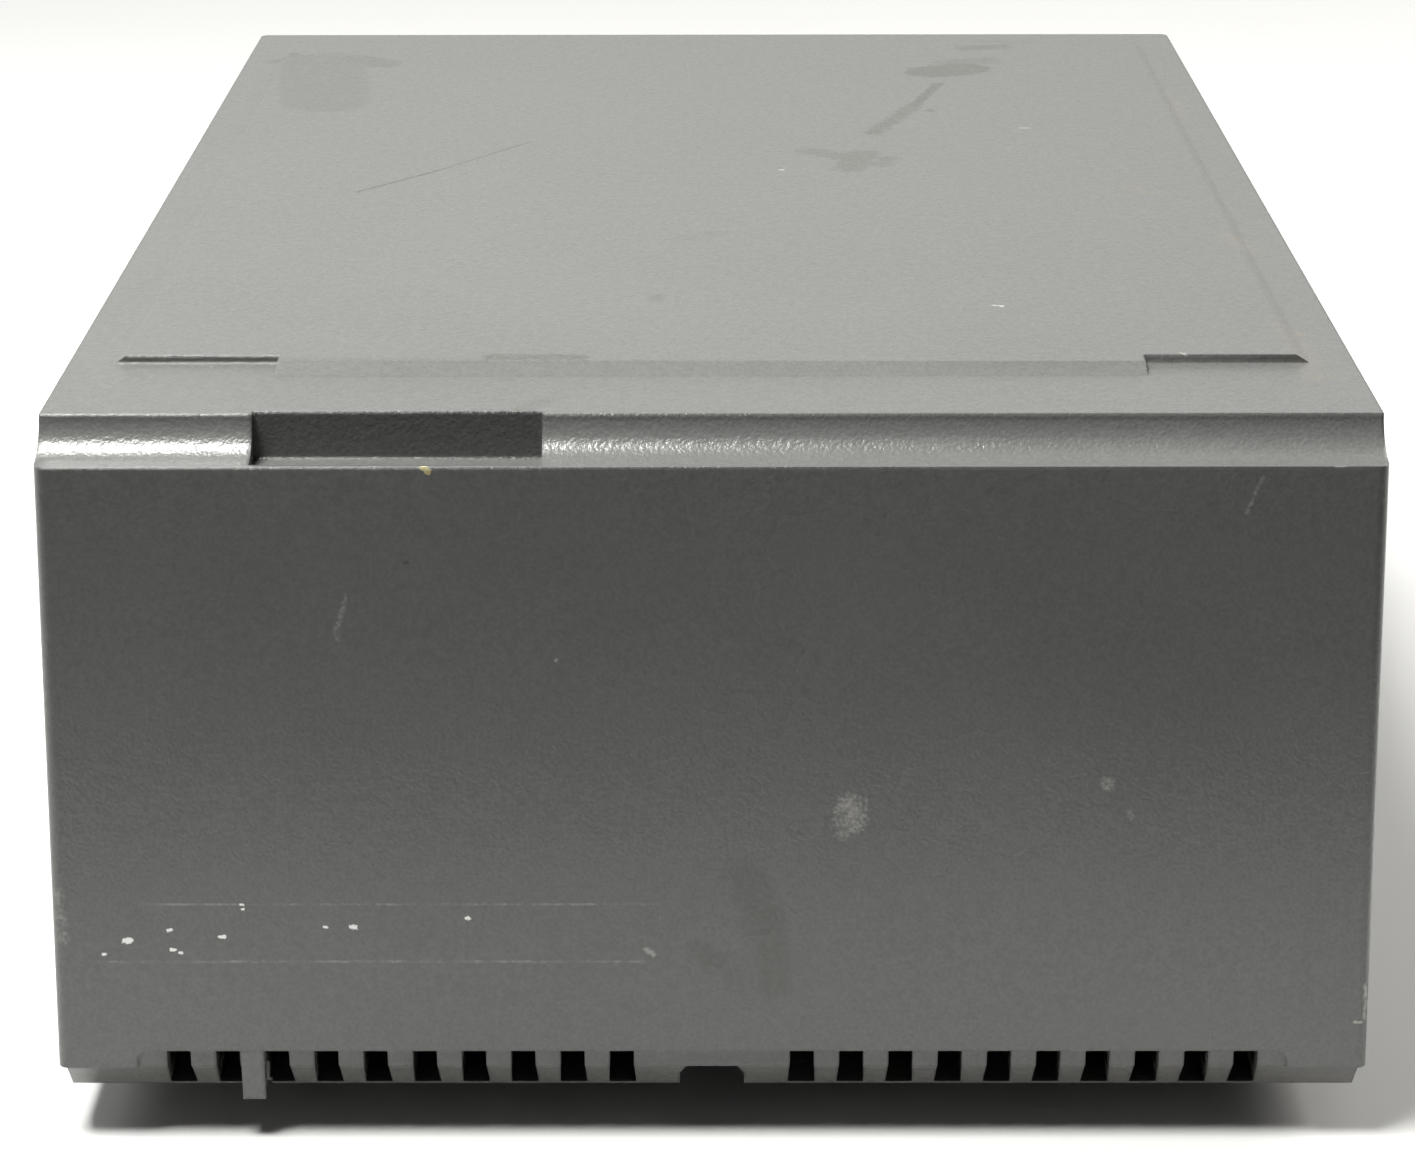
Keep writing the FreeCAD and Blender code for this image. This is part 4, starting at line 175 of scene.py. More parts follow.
def mark_group():
    """A stain, scratch or speck: a soft capsule about a line through its middle, with a ragged edge.

    Distance from the line's nearest point, less the half width, falls from 1 to 0 over the softness;
    noise moves the outline in and out by the raggedness. All lengths are in millimetres.
    """
    tree, given, put = new_group(
        "surface_mark",
        {"Place": (0.0, 0.0, 0.0), "Middle": (0.0, 0.0, 0.0), "Along": (1.0, 0.0, 0.0), "Half Length": 1.0,
         "Half Width": 1.0, "Softness": 1.0, "Ragged": 0.0, "Lump": 2.0},
        {"Mask": "Float"})
    off = vector(tree, "SUBTRACT", given["Place"], given["Middle"])
    run = vector(tree, "DOT_PRODUCT", off, given["Along"])
    back_end = calc(tree, "MULTIPLY", given["Half Length"], -1.0)
    near = calc(tree, "MINIMUM", calc(tree, "MAXIMUM", run, back_end), given["Half Length"])
    foot = add(tree, "VectorMath", {0: given["Along"], "Scale": near}, operation="SCALE").outputs[0]
    away = vector(tree, "LENGTH", vector(tree, "SUBTRACT", off, foot))
    scale = calc(tree, "DIVIDE", 1.0, given["Lump"])
    lump = noise_at(tree, given["Place"], scale, detail=3.0, roughness=0.6)
    swing = calc(tree, "MULTIPLY", given["Ragged"], 2.0)
    shift = calc(tree, "MULTIPLY", calc(tree, "SUBTRACT", lump, 0.5), swing)
    edge = calc(tree, "ADD", calc(tree, "SUBTRACT", away, given["Half Width"]), shift)
    level = calc(tree, "SUBTRACT", 1.0, calc(tree, "DIVIDE", edge, given["Softness"]), clamp=True)
    join(tree, level, put["Mask"])
    return tree


def dust_group():
    """Sparse specks, as a mask: a disc at the middle of a few of the cells that fill the surface."""
    tree, given, put = new_group("dust_specks", {"Spacing": 0.004, "Amount": 0.1, "Size": 0.06},
                                 {"Mask": "Float"})
    scale = calc(tree, "DIVIDE", 1.0, given["Spacing"])
    cells = add(tree, "TexVoronoi", {"Vector": places(tree), "Scale": scale, "Randomness": 1.0})
    pick = add(tree, "SeparateColor", {0: cells.outputs["Color"]}).outputs[0]
    chosen = calc(tree, "LESS_THAN", pick, given["Amount"])
    size = calc(tree, "MULTIPLY", given["Size"], remap(tree, pick, 0.0, 0.1, 0.4, 1.0))
    speck = calc(tree, "LESS_THAN", cells.outputs["Distance"], size)
    join(tree, calc(tree, "MULTIPLY", chosen, speck), put["Mask"])
    return tree


GRAIN = grain_group()
EDGE = edge_group()
MARK = mark_group()
DUST = dust_group()


def blank_material(name, **constants):
    """A material with a Principled shader, whose plain numbers are set on the shader itself."""
    material = bpy.data.materials.new(name)
    material.use_nodes = True
    tree = material.node_tree
    shader = next(item for item in tree.nodes if item.type == "BSDF_PRINCIPLED")
    for key, value in constants.items():
        shader.inputs[key.replace("_", " ")].default_value = value
    return material, tree, shader


def shade(color, factor):
    """A colour made lighter or darker, as solid as before."""
    return tuple(min(1.0, part * factor) for part in color[:3]) + (1.0,)


DUST_COLOR = (0.45, 0.44, 0.42, 1.0)


def finish_material(name, color, roughness, grain=0.0005, depth=0.00001, metallic=0.0, wear=0.2, worn=None,
                    coat=0.0, stretch=None):
    """Any plain made surface: its colour drifts a little, its edges wear, and it has a grain.

    stretch draws the grain out along an axis, as brushing or drawing does.
    """
    material, tree, shader = blank_material(name, Metallic=metallic, Coat_Weight=coat)
    color = tuple(color) + (1.0,)
    where = places(tree)
    drift = noise(tree, where, 0.018, detail=3.0)
    tone = remap(tree, drift, 0.3, 0.7)
    body = blend_color(tree, tone, shade(color, 0.92), shade(color, 1.08))
    edge = use(tree, EDGE, {"Radius": 0.0003, "Edge Amount": wear})
    dust = use(tree, DUST, {"Amount": 0.03})
    worn = tuple(worn) + (1.0,) if worn else shade(color, 1.7)
    body = blend_color(tree, edge["Mask"], body, worn)
    body = blend_color(tree, calc(tree, "MULTIPLY", dust["Mask"], 0.5), body, DUST_COLOR)
    join(tree, body, shader.inputs["Base Color"])
    if stretch:
        drawn = add(tree, "Mapping", {"Vector": where, "Scale": stretch}).outputs[0]
        lines = noise(tree, drawn, grain, detail=3.0)
        bump = add(tree, "Bump", {"Distance": depth, "Height": lines, "Normal": edge["Normal"]})
        normal, lumps = bump.outputs[0], lines
    else:
        peel = use(tree, GRAIN, {"Size": grain, "Depth": depth, "Normal": edge["Normal"]})
        normal, lumps = peel["Normal"], peel["Lumps"]
    join(tree, normal, shader.inputs["Normal"])
    rough = calc(tree, "ADD", roughness, calc(tree, "MULTIPLY", calc(tree, "SUBTRACT", lumps, 0.5), 0.18))
    swing = calc(tree, "MULTIPLY", calc(tree, "SUBTRACT", drift, 0.5), 0.15)
    join(tree, calc(tree, "ADD", rough, swing, clamp=True), shader.inputs["Roughness"])
    return material


# ------------------------------------------------------- the enclosure's paint

COVER_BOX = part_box("top_cover")
FRONT_Y = COVER_BOX[0][1]
TOP_Z = COVER_BOX[1][2]
# The cover's lower edge stands on the base's lip, and its front face leans back by the mould's draft.
EDGE_Z = 0.009
FRONT_LEAN = math.tan(math.radians(1.25))


def on_top(x, y):
    """A place on the roof, in millimetres: across from the middle, and back from the front face."""
    return (x, FRONT_Y / MM + y, TOP_Z / MM)


def on_front(x, up):
    """A place on the front face, in millimetres: across from the middle, and up from the cover's edge."""
    return (x, FRONT_Y / MM + up * FRONT_LEAN, EDGE_Z / MM + up)


def marks(tree, where, rows):
    """The strongest of several marks, at each place on the surface."""
    total = None
    for start, end, wide, soft, ragged, lump, strength in rows:
        start, end = Vector(start), Vector(end)
        along = end - start
        mask = use(tree, MARK, {
            "Place": where, "Middle": tuple((start + end) / 2), "Along": tuple(along.normalized()),
            "Half Length": along.length / 2, "Half Width": wide, "Softness": soft, "Ragged": ragged,
            "Lump": lump})["Mask"]
        mask = calc(tree, "MULTIPLY", mask, strength)
        total = mask if total is None else calc(tree, "MAXIMUM", total, mask)
    return total


# Each mark runs from one place to another, and has a half width, a softness, how far its outline wanders,
# the size of the lumps that make it wander, all in millimetres, and how strongly it shows.
DARK_MARKS = [
    (on_top(33.4, 176.4), on_top(38.4, 178.6), 3.4, 1.2, 2.2, 2.2, 0.62),
    (on_top(36.5, 183.0), on_top(42.0, 184.5), 1.4, 2.0, 2.4, 1.6, 0.30),
    (on_top(40.0, 194.0), on_top(45.6, 195.0), 0.9, 1.6, 1.8, 1.4, 0.42),
    (on_top(34.0, 168.0), on_top(29.8, 154.0), 0.5, 0.6, 0.9, 1.2, 0.62),
    (on_top(29.8, 154.0), on_top(22.8, 135.5), 0.7, 1.1, 1.3, 1.8, 0.50),
    (on_top(21.0, 123.0), on_top(18.6, 115.0), 1.6, 1.2, 2.4, 1.8, 0.42),
    (on_top(13.6, 124.5), on_top(18.6, 121.0), 1.2, 1.3, 2.2, 1.6, 0.40),
    (on_top(24.4, 120.5), on_top(23.0, 117.0), 0.9, 1.2, 1.6, 1.6, 0.34),
    (on_top(31.5, 150.5), on_top(32.0, 149.5), 0.3, 0.5, 0.5, 0.8, 0.55),
    (on_top(-61.0, 184.0), on_top(-57.5, 156.0), 6.0, 1.4, 1.6, 3.0, 0.24),
    (on_top(-56.0, 186.5), on_top(-51.6, 183.0), 2.4, 1.2, 1.8, 1.8, 0.34),
    (on_top(-69.0, 189.0), on_top(-66.0, 189.5), 0.9, 1.4, 1.4, 1.4, 0.40),
    (on_top(-47.6, 101.8), on_top(-37.4, 114.0), 0.10, 0.34, 0.14, 0.9, 0.80),
    (on_top(-37.4, 114.0), on_top(-25.9, 130.5), 0.06, 0.34, 0.16, 0.9, 0.55),
    (on_top(42.0, 203.6), on_top(52.0, 202.8), 0.4, 0.8, 0.7, 1.0, 0.75),
    (on_top(71.9, 195.5), on_top(72.3, 191.5), 0.5, 0.5, 0.5, 0.7, 0.9),
    (on_top(-25.0, 25.3), on_top(-15.0, 25.2), 0.5, 1.0, 1.6, 0.9, 0.55),
    (on_top(-31.0, 6.9), on_top(-20.0, 8.4), 0.4, 0.9, 1.4, 0.9, 0.55),
    (on_top(-20.5, 9.6), on_top(-18.4, 11.4), 0.6, 1.2, 1.2, 0.9, 0.30),
    (on_top(-6.8, 48.8), on_top(-6.2, 51.0), 0.4, 0.8, 0.9, 0.8, 0.28),
    (on_top(-4.0, 77.5), on_top(0.0, 80.0), 0.7, 1.8, 1.8, 1.2, 0.16),
    (on_front(3.6, 24.0), on_front(5.6, 18.0), 1.2, 1.8, 2.2, 1.6, 0.30),
    (on_front(6.6, 19.0), on_front(7.0, 10.5), 0.9, 1.6, 1.8, 1.4, 0.34),
    (on_front(-1.4, 14.5), on_front(0.6, 13.4), 0.7, 1.4, 1.6, 1.2, 0.26),
    (on_front(2.2, 13.0), on_front(3.2, 10.6), 0.5, 1.4, 1.4, 1.2, 0.20),
    (on_front(-33.4, 61.2), on_front(-33.1, 61.2), 0.10, 0.16, 0.1, 0.4, 0.6),
]
# Lighter brownish streaks and patches, mostly along the roof's right-hand slope
BROWNISH_MARKS = [
    (on_top(67.0, 78.0), on_top(67.6, 74.0), 1.0, 1.8, 1.8, 1.6, 0.42),
    (on_top(67.4, 38.0), on_top(68.0, 20.0), 0.8, 1.8, 2.4, 1.6, 0.36),
    (on_top(68.5, 150.0), on_top(69.0, 166.0), 0.5, 1.4, 1.8, 1.4, 0.40),
    (on_top(56.0, 104.0), on_top(58.0, 101.0), 0.6, 1.6, 1.6, 1.2, 0.25),
]
PALE_MARKS = [
    (on_front(15.48, 31.9), on_front(15.50, 31.0), 1.25, 0.9, 1.9, 0.45, 0.50),
    (on_front(14.3, 29.0), on_front(14.9, 28.8), 0.25, 0.5, 0.6, 0.4, 0.30),
    (on_front(44.04, 35.4), on_front(44.3, 35.0), 0.45, 0.45, 0.6, 0.5, 0.34),
    (on_front(46.7, 31.6), on_front(46.9, 31.1), 0.12, 0.35, 0.3, 0.4, 0.26),
    (on_front(-39.9, 57.4), on_front(-41.0, 53.8), 0.08, 0.30, 0.35, 0.5, 0.34),
    (on_front(-41.2, 53.8), on_front(-41.1, 52.2), 0.10, 0.30, 0.35, 0.4, 0.26),
    (on_front(59.6, 70.8), on_front(58.1, 66.9), 0.05, 0.26, 0.22, 0.8, 0.42),
    (on_front(-17.1, 49.8), on_front(-17.0, 49.9), 0.10, 0.12, 0.1, 0.3, 0.5),
    (on_front(-73.6, 22.0), on_front(-73.4, 16.0), 0.2, 0.5, 0.7, 0.7, 0.28),
    (on_top(9.2, 113.8), on_top(9.5, 113.8), 0.22, 0.18, 0.1, 0.3, 0.9),
    (on_top(44.0, 138.8), on_top(45.4, 138.7), 0.12, 0.3, 0.2, 0.5, 0.45),
    (on_top(33.7, 46.4), on_top(34.6, 46.0), 0.20, 0.2, 0.1, 0.3, 0.8),
    (on_top(53.6, 26.8), on_top(54.6, 24.6), 0.08, 0.22, 0.2, 0.5, 0.6),
    (on_top(60.5, 16.5), on_top(62.5, 14.0), 0.05, 0.22, 0.2, 0.5, 0.35),
]
# What is left of an embossed tape label: the outline of its glue, and dried drops of it
LABEL_LEFT = -71.5
LABEL_RIGHT = -5.8
LABEL_LOW = 13.4
LABEL_HIGH = 20.5
GHOST_LINES = [
    (on_front(LABEL_LEFT + 7, LABEL_HIGH), on_front(LABEL_RIGHT, LABEL_HIGH), 0.03, 0.16, 0.14, 0.7, 1.0),
    (on_front(LABEL_LEFT + 2, LABEL_LOW), on_front(LABEL_RIGHT - 2, LABEL_LOW), 0.05, 0.18, 0.16, 0.7, 1.0),
    (on_front(LABEL_RIGHT, LABEL_HIGH - 2), on_front(LABEL_RIGHT, LABEL_HIGH), 0.03, 0.14, 0.12, 0.7, 0.8),
]
# Each drop: across, up, and how wide it is
GLUE_SPECKS = [(-66.4, 16.0, 0.56), (-69.0, 14.3, 0.24), (-61.5, 17.3, 0.34), (-61.2, 14.9, 0.34),
               (-60.3, 14.5, 0.26), (-55.6, 16.5, 0.40), (-43.8, 17.7, 0.26), (-40.7, 17.7, 0.50),
               (-27.7, 18.8, 0.34), (-53.1, 20.5, 0.24), (-53.0, 19.9, 0.18)]
CHIPS = [
    (on_front(74.4, 10.2), on_front(74.7, 6.2), 0.22, 0.3, 0.5, 0.7, 0.7),
    (on_front(73.3, 5.8), on_front(74.6, 5.7), 0.08, 0.15, 0.1, 0.4, 0.7),
    (on_front(-7.4, 14.9), on_front(-6.6, 14.3), 0.12, 0.3, 0.4, 0.4, 0.5),
    (on_front(67.6, 72.2), on_front(68.4, 72.2), 0.15, 0.2, 0.2, 0.4, 0.6),
]
GLUE_DROP = [(on_front(-31.2, 72.2), on_front(-30.6, 71.6), 0.30, 0.12, 0.25, 0.4, 0.9)]
COVER_COLOR = (0.110, 0.112, 0.109)
BASE_COLOR = (0.108, 0.107, 0.102)
COVER_DUST = (0.5, 0.49, 0.47, 1.0)
GRIME = (0.045, 0.043, 0.036, 1.0)
BROWNISH_TINT = (0.150, 0.135, 0.105, 1.0)
SCUFF = (0.42, 0.41, 0.39, 1.0)
GLUE = (0.80, 0.80, 0.78, 1.0)
YELLOW_GLUE = (0.48, 0.42, 0.22, 1.0)


def age_cover(tree, body, where, lumps):
    """The marks on the paint: grime, lighter brownish patches, scuffs, chips and what a label left behind.

    Grime and the brownish patches are patchy, scuffs catch only the paint's high spots, and the label's
    outline is broken by gaps. where is in millimetres.
    """
    patchy = remap(tree, noise(tree, where, 0.7, roughness=0.6), 0.35, 0.6, 0.45, 1.0)
    high_spots = remap(tree, lumps, 0.40, 0.60, 0.25, 1.0)
    gaps = remap(tree, noise(tree, where, 2.6, detail=4.0, roughness=0.7), 0.47, 0.64, 0.04, 0.34)
    drops = [(on_front(x, up), on_front(x + wide, up), wide * 0.5, 0.08, wide * 0.9, 0.35, 1.0)
             for x, up, wide in GLUE_SPECKS]
    broken = ((DARK_MARKS, patchy, GRIME), (BROWNISH_MARKS, patchy, BROWNISH_TINT), (PALE_MARKS, high_spots, SCUFF),
              (GHOST_LINES, gaps, SCUFF))
    for rows, strength, color in broken:
        body = blend_color(tree, calc(tree, "MULTIPLY", marks(tree, where, rows), strength), body, color)
    for rows, color in ((drops, GLUE), (CHIPS, SCUFF), (GLUE_DROP, YELLOW_GLUE)):
        body = blend_color(tree, marks(tree, where, rows), body, color)
    return body


def cover_material(name, color, aged=True):
    """Warm grey textured paint: orange peel, arrises lightened as rubbed paint and partly as a painted highlight,
    dust, and the marks of use.
    """
    material, tree, shader = blank_material(name, Specular_IOR_Level=0.45)
    where = places(tree)
    base = tuple(color) + (1.0,)
    cloud = noise(tree, where, 0.045, detail=4.0, roughness=0.6)
    body = blend_color(tree, remap(tree, cloud, 0.25, 0.75), shade(base, 0.94), shade(base, 1.05))
    edge = use(tree, EDGE, {"Radius": 0.0007, "Edge Amount": 0.40, "Patch": 0.003})
    grain = use(tree, GRAIN, {"Size": 0.00042, "Depth": 0.00008, "Normal": edge["Normal"]})
    flecks = remap(tree, grain["Lumps"], 0.35, 0.65, 0.91, 1.09)
    tint = add(tree, "CombineColor", {0: flecks, 1: flecks, 2: flecks}).outputs[0]
    body = blend_color(tree, 1.0, body, tint, "MULTIPLY")
    if aged:
        millimetres = add(tree, "VectorMath", {0: where, "Scale": 1 / MM}, operation="SCALE").outputs[0]
        body = age_cover(tree, body, millimetres, grain["Lumps"])
    # Lighter along the arrises: rubbed paint, and partly a painted highlight where the rounded edges catch the
    # lamp
    body = blend_color(tree, calc(tree, "MULTIPLY", edge["Mask"], 0.35), body, shade(base, 1.9))
    dust = use(tree, DUST, {"Spacing": 0.007, "Amount": 0.012, "Size": 0.035})
    body = blend_color(tree, calc(tree, "MULTIPLY", dust["Mask"], 0.35), body, COVER_DUST)
    join(tree, body, shader.inputs["Base Color"])
    join(tree, grain["Normal"], shader.inputs["Normal"])
    rough = calc(tree, "ADD", 0.26, calc(tree, "MULTIPLY", calc(tree, "SUBTRACT", cloud, 0.5), 0.14))
    rough = calc(tree, "SUBTRACT", rough, calc(tree, "MULTIPLY", edge["Mask"], 0.06), clamp=True)
    join(tree, rough, shader.inputs["Roughness"])
    return material


# ================================================================== surfaces

# Doubled points lie closer together than this.
MERGE = 0.000002


def mesh_object(name, points, faces):
    """An object from arrays of points and faces."""
    mesh = bpy.data.meshes.new(name)
    mesh.from_pydata(points.tolist(), [], faces.tolist())
    mesh.validate()
    made = bpy.data.objects.new(name, mesh)
    bpy.context.collection.objects.link(made)
    return made


def grid_faces(rows, columns):
    """Quads of a grid whose last column joins its first one."""
    row, column = np.meshgrid(np.arange(rows - 1), np.arange(columns), indexing="ij")
    following = (column + 1) % columns
    corners = (row * columns + column, row * columns + following,
               (row + 1) * columns + following, (row + 1) * columns + column)
    return np.stack([part.ravel() for part in corners], axis=1)


def tidy(made, sharp=35.0):
    """Merges doubled points, turns every face outwards, and keeps the sharp edges sharp."""
    shape = bmesh.new()
    shape.from_mesh(made.data)
    bmesh.ops.remove_doubles(shape, verts=shape.verts, dist=MERGE)
    bmesh.ops.dissolve_degenerate(shape, edges=shape.edges, dist=MERGE / 2)
    bmesh.ops.recalc_face_normals(shape, faces=shape.faces)
    shape.to_mesh(made.data)
    shape.free()
    made.data.shade_smooth()
    made.data.set_sharp_from_angle(angle=math.radians(sharp))
    return made


def turn_to(axis):
    """The turn that takes +Z to an axis."""
    return Vector((0, 0, 1)).rotation_difference(Vector(axis)).to_matrix().to_4x4()


def place_mesh(made, at, axis=(0, 0, 1)):
    """Moves a mesh, built about the origin and along +Z, to its place, inside its own object."""
    made.data.transform(Matrix.Translation(at) @ turn_to(axis))
    return made


def joined(name, pieces):
    """One piece from several, each with its place already in its mesh."""
    shape = bmesh.new()
    for piece in pieces:
        shape.from_mesh(piece.data)
        bpy.data.objects.remove(piece)
    mesh = bpy.data.meshes.new(name)
    shape.to_mesh(mesh)
    shape.free()
    made = bpy.data.objects.new(name, mesh)
    bpy.context.collection.objects.link(made)
    return tidy(made)


def lathe(name, profile, at, axis=(0, 0, 1), count=64):
    """A profile of (radius, height) pairs, carried once round an axis."""
    profile = np.array(profile, dtype=float)
    turn = np.arange(count) * 2 * math.pi / count
    radius, height = profile[:, 0][:, None], profile[:, 1][:, None]
    points = np.stack([radius * np.cos(turn), radius * np.sin(turn), height + 0 * turn], axis=-1)
    made = mesh_object(name, points.reshape(-1, 3), grid_faces(len(profile), count))
    place_mesh(made, at, axis)
    return tidy(made)


def rounded(radius, low, high, edge, steps=5):
    """A closed disc's profile, with a quarter round at both of its rims."""
    sweep = np.linspace(0, math.pi / 2, steps)
    under = [(radius - edge + edge * math.sin(turn), low + edge - edge * math.cos(turn)) for turn in sweep]
    over = [(radius - edge + edge * math.cos(turn), high - edge + edge * math.sin(turn)) for turn in sweep]
    return [(0.0, low)] + under + over + [(0.0, high)]


def screw_head(name, at, axis, radius, high, turn):
    """A pan head: a flattened dome over a polar grid, with a cross-shaped recess pressed into it.

    Height falls as the fourth power of the radius; the recess is a steep-sided cross whose arms
    shorten with depth.
    """
    rows, columns = 26, 72
    across = np.linspace(0.0, 1.0, rows)[:, None]
    around = np.arange(columns)[None, :] * 2 * math.pi / columns
    dome = high * (1.0 - 0.42 * across ** 4)
    x = np.abs(across * np.cos(around + turn))
    y = np.abs(across * np.sin(around + turn))
    arm_long, arm_wide = 0.56, 0.13
    arm = np.minimum(np.maximum(x / arm_long, y / arm_wide), np.maximum(y / arm_long, x / arm_wide))
    recess = high * 0.55 * np.clip((1.15 - arm) / 0.3, 0.0, 1.0)
    round_x, round_y = radius * np.cos(around), radius * np.sin(around)
    top = np.stack([across * round_x, across * round_y, dome - recess], axis=-1)
    skirt = np.stack([round_x, round_y, 0 * around], axis=-1)
    middle = np.zeros_like(skirt)
    points = np.concatenate([top, skirt, middle], axis=0).reshape(-1, 3)
    made = mesh_object(name, points, grid_faces(rows + 2, columns))
    place_mesh(made, at, axis)
    return tidy(made)


def softened(node, width, segments, angle=14.0):
    """A copy of a CAD node with its triangles joined into faces and its edges rounded off.

    Edges that turn by more than the angle, in degrees, are rounded and stay sharp in the shading.
    """
    made = bpy.data.objects.new(node + "_finished", NODES[node].data.copy())
    bpy.context.collection.objects.link(made)
    shape = bmesh.new()
    shape.from_mesh(made.data)
    bmesh.ops.remove_doubles(shape, verts=shape.verts, dist=MERGE)
    bmesh.ops.dissolve_limit(shape, angle_limit=math.radians(0.4), verts=shape.verts, edges=shape.edges)
    shape.to_mesh(made.data)
    shape.free()
    made.data.materials.clear()
    soft = made.modifiers.new("rounded_edges", "BEVEL")
    soft.width = width
    soft.segments = segments
    soft.limit_method = "ANGLE"
    soft.angle_limit = math.radians(angle)
    soft.harden_normals = True
    soft.use_clamp_overlap = True
    made.data.shade_smooth()
    made.data.set_sharp_from_angle(angle=math.radians(angle))
    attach(made, BODY_OF[node])
    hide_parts(node)
    return made


def slot_of(node):
    """The material slot that the record gives a node."""
    return next(row["material_slot"] for row in frame["record"]["subparts"] if row["node"] == node)


def lettering(name, text, at, tall, normal=(0, 1, 0), up=(0, 0, 1), raised=0.00003):
    """Small printed lettering, as a thin mesh centred on a place."""
    curve = bpy.data.curves.new(name, "FONT")
    curve.body = text
    curve.size = tall
    curve.extrude = raised
    curve.resolution_u = 3
    curve.align_x = "CENTER"
    curve.align_y = "CENTER"
    holder = bpy.data.objects.new(name + "_curve", curve)
    bpy.context.collection.objects.link(holder)
    mesh = bpy.data.meshes.new_from_object(holder)
    bpy.data.objects.remove(holder)
    normal, up = Vector(normal).normalized(), Vector(up).normalized()
    right = up.cross(normal)
    turn = Matrix((right, up, normal)).transposed().to_4x4()
    mesh.transform(Matrix.Translation(Vector(at)) @ turn)
    made = bpy.data.objects.new(name, mesh)
    bpy.context.collection.objects.link(made)
    return tidy(made)


def dress(made, material, body="enclosure"):
    """Gives a piece its one material, and a body to ride on unless it is a CAD node."""
    made.data.materials.clear()
    made.data.materials.append(material)
    if made.name not in NODES:
        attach(made, body)
    return made


# ================================================================= materials

FINISH = {
    "cover_moulding": cover_material("cover_paint", COVER_COLOR),
    "base_moulding": cover_material("base_paint", BASE_COLOR, aged=False),
    "foot_rubber": finish_material(
        "foot_rubber", (0.022, 0.022, 0.022), 0.85, grain=0.0006, depth=0.00002, wear=0.3),
    "panel_paint": finish_material(
        "panel_powder_coat", (0.035, 0.035, 0.036), 0.52, grain=0.00045, depth=0.00003, wear=0.25),
    "screw_steel": finish_material(
        "zinc_plate", (0.58, 0.57, 0.53), 0.34, grain=0.0002, depth=0.000003, metallic=1.0),
    "black_screws": finish_material(
        "black_oxide", (0.05, 0.05, 0.052), 0.38, grain=0.0002, depth=0.000003,
        metallic=0.6, worn=(0.4, 0.4, 0.4), wear=0.5),
    "black_moulding": finish_material(
        "black_moulding", (0.02, 0.02, 0.021), 0.46, grain=0.0004, depth=0.000015),
    "plated_brass": finish_material(
        "tinned_brass", (0.72, 0.68, 0.58), 0.3, grain=0.0002, depth=0.000002, metallic=1.0),
    "fuse_glass": finish_material(
        "fuse_glass", (0.75, 0.78, 0.77), 0.12, grain=0.001, depth=0.000001, coat=0.5),
    "rocker_moulding": finish_material(
        "rocker_moulding", (0.018, 0.018, 0.018), 0.24, grain=0.0006, depth=0.000003),
    "shell_metal": finish_material(
        "satin_nickel", (0.55, 0.54, 0.51), 0.34, grain=0.0003, depth=0.000004, metallic=1.0),
    "contact_gold": finish_material(
        "gold_flash", (0.83, 0.60, 0.24), 0.2, grain=0.0003, depth=0.000001, metallic=1.0),
    "jack_nylon": finish_material(
        "jack_nylon", (0.022, 0.022, 0.023), 0.4, grain=0.0004, depth=0.000008),
    "nut_plate": finish_material(
        "bright_nickel", (0.68, 0.67, 0.64), 0.2, grain=0.0003, depth=0.000002, metallic=1.0),
    "switch_case": finish_material(
        "plated_case", (0.6, 0.59, 0.56), 0.36, grain=0.0003, depth=0.000004, metallic=1.0),
    "slider_moulding": finish_material(
        "slider_moulding", (0.62, 0.61, 0.56), 0.38, grain=0.0004, depth=0.000006,
        wear=0.3, worn=(0.3, 0.29, 0.26)),
    "lamp_lens": finish_material(
        "lamp_lens", (0.42, 0.02, 0.012), 0.22, grain=0.0006, depth=0.000003, coat=0.6),
    "earth_insulation": finish_material(
        "green_sleeve", (0.10, 0.32, 0.05), 0.5, grain=0.0005, depth=0.000004),
    "board_laminate": finish_material(
        "solder_mask", (0.02, 0.13, 0.05), 0.35, grain=0.0004, depth=0.000006),
    "socket_ceramic": finish_material(
        "glazed_ceramic", (0.74, 0.70, 0.60), 0.25, grain=0.0008, depth=0.000004, coat=0.3),
    "electrode_metal": finish_material(
        "carbonised_plate", (0.09, 0.09, 0.09), 0.5, grain=0.0003, depth=0.000006, metallic=0.8),
    "capacitor_sleeve": finish_material(
        "capacitor_sleeve", (0.02, 0.035, 0.12), 0.3, grain=0.0008, depth=0.000004),
    "film_case": finish_material("film_case", (0.42, 0.06, 0.025), 0.35, grain=0.0006, depth=0.000006),
    "resistor_lacquer": finish_material(
        "resistor_lacquer", (0.30, 0.46, 0.58), 0.3, grain=0.0006, depth=0.000004),
    "can_metal": finish_material(
        "drawn_steel", (0.52, 0.51, 0.48), 0.38, grain=0.0003, depth=0.000004,
        metallic=1.0, stretch=(1.0, 1.0, 0.05)),
    "sink_metal": finish_material(
        "black_anodise", (0.03, 0.03, 0.032), 0.42, grain=0.0003, depth=0.000004,
        metallic=0.7, stretch=(1.0, 1.0, 0.05)),
    "connector_nylon": finish_material(
        "natural_nylon", (0.70, 0.67, 0.57), 0.45, grain=0.0005, depth=0.000005),
    "core_steel": finish_material(
        "varnished_laminations", (0.10, 0.085, 0.07), 0.42, grain=0.0005, depth=0.00003,
        metallic=0.5, stretch=(1.0, 0.02, 0.02)),
    "winding_tape": finish_material(
        "winding_tape", (0.62, 0.42, 0.08), 0.35, grain=0.0006, depth=0.000006),
    "mains_insulation": finish_material(
        "brown_sleeve", (0.11, 0.045, 0.02), 0.45, grain=0.0005, depth=0.000003),
    "signal_insulation": finish_material(
        "grey_sleeve", (0.45, 0.44, 0.42), 0.45, grain=0.0005, depth=0.000003),
}


